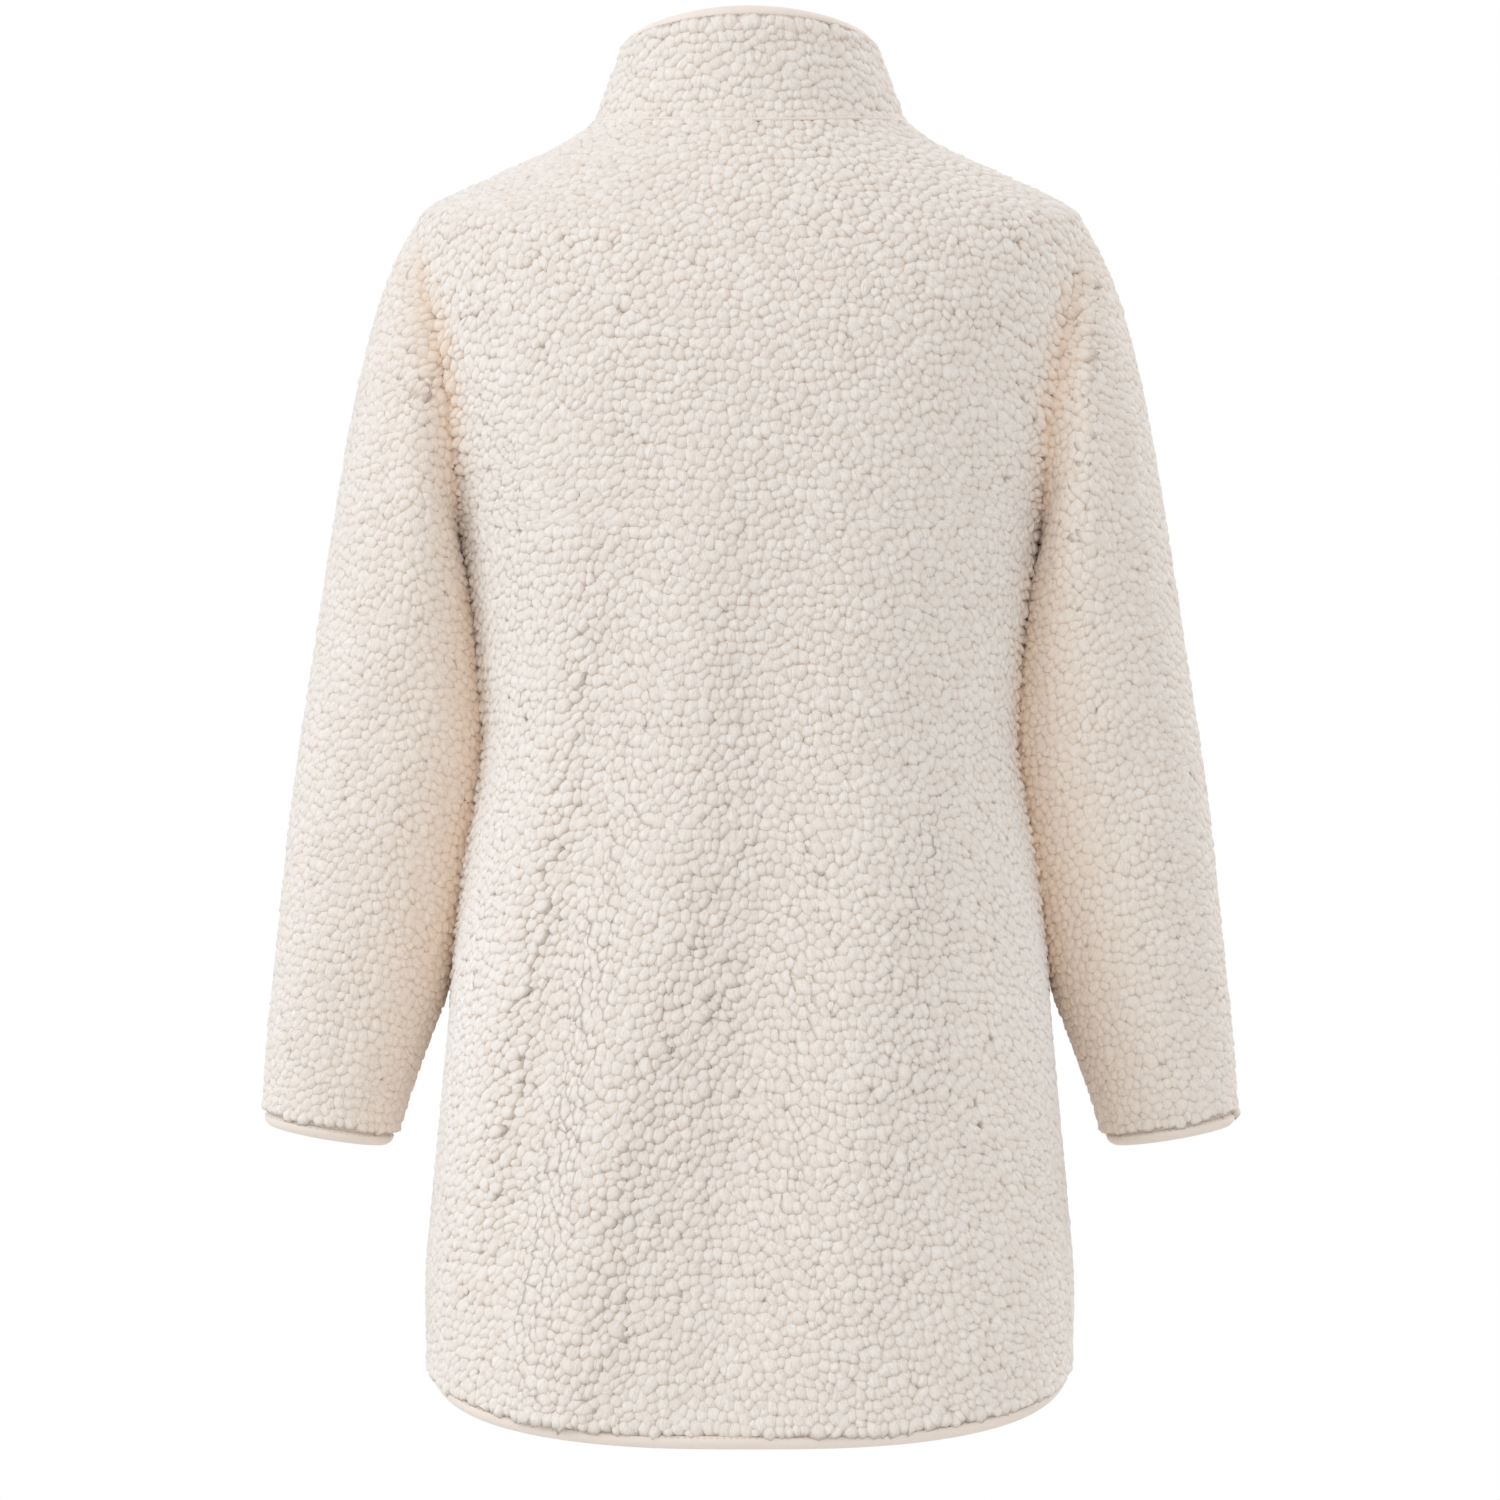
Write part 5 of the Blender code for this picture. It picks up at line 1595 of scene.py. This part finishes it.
def zip_tape(word, side):
    """One tape, thickest along the cord that carries the teeth."""
    line, normals = front_line(zip_rows)
    offsets = np.zeros((1, len(TAPE_PROFILE), 3))
    offsets[0, :, 0] = side * (ZIP_OPENING / 2 - SEAM_GAP) * TAPE_PROFILE[:, 0]
    depth = ZIP_TAPE_DEPTH - TAPE_PROFILE[None, :, 1:]
    face = line[:, None] - normals[:, None] * depth + offsets
    under = ZIP_TAPE_DEPTH + ZIP_TAPE_THICKNESS
    back = line[:, None] - normals[:, None] * under + offsets
    points, blocks = closed_wall(face, back, False)
    piece = new_piece(f"zip_tape_{word}_woven", points, blocks, TAPE)
    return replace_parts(piece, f"zip_tape_{word}")


tapes = [zip_tape("left", +1), zip_tape("right", -1)]

# %% [markdown]
# ### Teeth and stops
# Each tooth of a moulded zip is a small block that reaches over the centre line
# and fits between two teeth of the other row. One block with a bevelled top is
# stamped down each tape, the second row half a pitch lower. Blocks of other
# sizes end the zip above and below.

# %% Teeth and stops
SLIDER_HEIGHT = RINGS["collar edge"][0] - 0.0150
TEETH_START = SLIDER_HEIGHT - 0.0075
TEETH_END = 0.006            # above the tapes' lower ends
FIRST_TOOTH = 0.0004         # along the zip from where the teeth start
TOOTH_PITCH = 0.0029
TOOTH_REACH = 0.0034         # from the centre line to the tooth's outer end
TOOTH_OVERLAP = 0.0010       # how far a tooth's head passes the centre line
TOOTH_WIDTH = 0.0012
TOOTH_LOW = -0.0033          # below the pile's tips
TOOTH_HIGH = -0.0012
TOOTH_CHAMFER = 0.0003
STOPS_START = SLIDER_HEIGHT + 0.0078
STOPS_END = 0.0035           # the lower stop's place, above the tapes' lower ends
# lowest x and y, highest x, y and z, and chamfer: left, right and lower stop
STOPS = ((+0.0006, -0.0012, 0.0034, 0.0012, -0.0010, 0.0004),
         (-0.0034, -0.0012, -0.0006, 0.0012, -0.0010, 0.0004),
         (-0.0038, -0.0030, 0.0038, 0.0030, -0.0008, 0.0005))
ZIP_READINGS = 900           # points in which the centre front is measured
ZIP_STEP = 0.001             # metres ahead, to see where the zip is heading


def block_shape(low, high, chamfer):
    """A box whose top is smaller than its base: 4 base, 4 shoulder and 4 top corners."""
    (left, bottom), (right, top) = low[:2], high[:2]
    base = np.array([(left, bottom), (right, bottom), (right, top), (left, top)])
    small = base - np.sign(base - base.mean(axis=0)) * chamfer
    levels = ((base, low[2]), (base, high[2] - chamfer), (small, high[2]))
    return np.concatenate([np.column_stack([ring, np.full(4, z)]) for ring, z in levels])


def block_faces():
    """Quads round the two storeys, and the faces below and above."""
    side = np.arange(4)
    following = (side + 1) % 4
    storey = np.stack([side, following, following + 4, side + 4], axis=-1)
    return [np.concatenate([storey, storey + 4]), np.array([[3, 2, 1, 0], [8, 9, 10, 11]])]


def zip_places(z_from, z_to, pitch, start):
    """Places down the centre front at even steps: points and (across, down, out) axes."""
    line, normals = front_line(np.linspace(z_from, z_to, ZIP_READINGS))
    run = distances(line)
    along = np.arange(start, run[-1], pitch)
    centre, out = read_line(line, run, along), read_line(normals, run, along)
    down = unit(read_line(line, run, along + ZIP_STEP) - centre)
    out = unit(out - np.sum(out * down, axis=-1, keepdims=True) * down)
    return centre, np.stack([np.cross(down, out), down, out], axis=1)


def teeth(word, side, start):
    """One row of teeth, from the slider to the bottom stop."""
    centre, axes = zip_places(TEETH_START, zip_rows[-1] + TEETH_END, TOOTH_PITCH, start)
    low, high = sorted((-side * TOOTH_OVERLAP, side * TOOTH_REACH))
    axes[:, 0] *= np.sign(axes[:, :1, 0])
    shape = block_shape((low, -TOOTH_WIDTH / 2, TOOTH_LOW),
                        (high, TOOTH_WIDTH / 2, TOOTH_HIGH), TOOTH_CHAMFER)
    shapes = np.repeat(shape[None], len(centre), axis=0)
    points, blocks = stamp(shapes, block_faces(), centre, axes)
    return new_piece(f"zip_teeth_{word}", points, blocks, ACETAL)


tooth_rows = [teeth("left", +1, FIRST_TOOTH),
              teeth("right", -1, FIRST_TOOTH + TOOTH_PITCH / 2)]


def stops():
    """Two short stops above the slider and one wide box at the foot of the zip."""
    stops_end = zip_rows[-1] + STOPS_END
    top, axes = zip_places(STOPS_START, stops_end, 1.0, 0.0)
    foot, foot_axes = zip_places(stops_end, zip_rows[-1], 1.0, 0.0)
    shapes = [block_shape((x_low, y_low, TOOTH_LOW), (x_high, y_high, z_high), chamfer)
              for x_low, y_low, x_high, y_high, z_high, chamfer in STOPS]
    centres = np.concatenate([top, top, foot])
    frames = np.concatenate([axes, axes, foot_axes])
    points, blocks = stamp(np.array(shapes), block_faces(), centres, frames)
    return new_piece("zip_stops", points, blocks, ACETAL)


zip_stops = stops()

# %% [markdown]
# ### Slider and pull tab
# The slider and its tab are metal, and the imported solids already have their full
# shape. So they stay as they are and only get their finish. The tab swings on
# the slider's bridge, which a solid of its own can do.

# %% Slider and pull tab
for node in ("zip_slider", "zip_pull_tab"):
    metal_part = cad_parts[node]
    for slot in metal_part.material_slots:
        slot.material = METAL
print("slider and pull tab are plated")

# %% [markdown]

# %% Triangle count
print("triangles in all:", sum(made.values()), "largest:", max(made.values()))
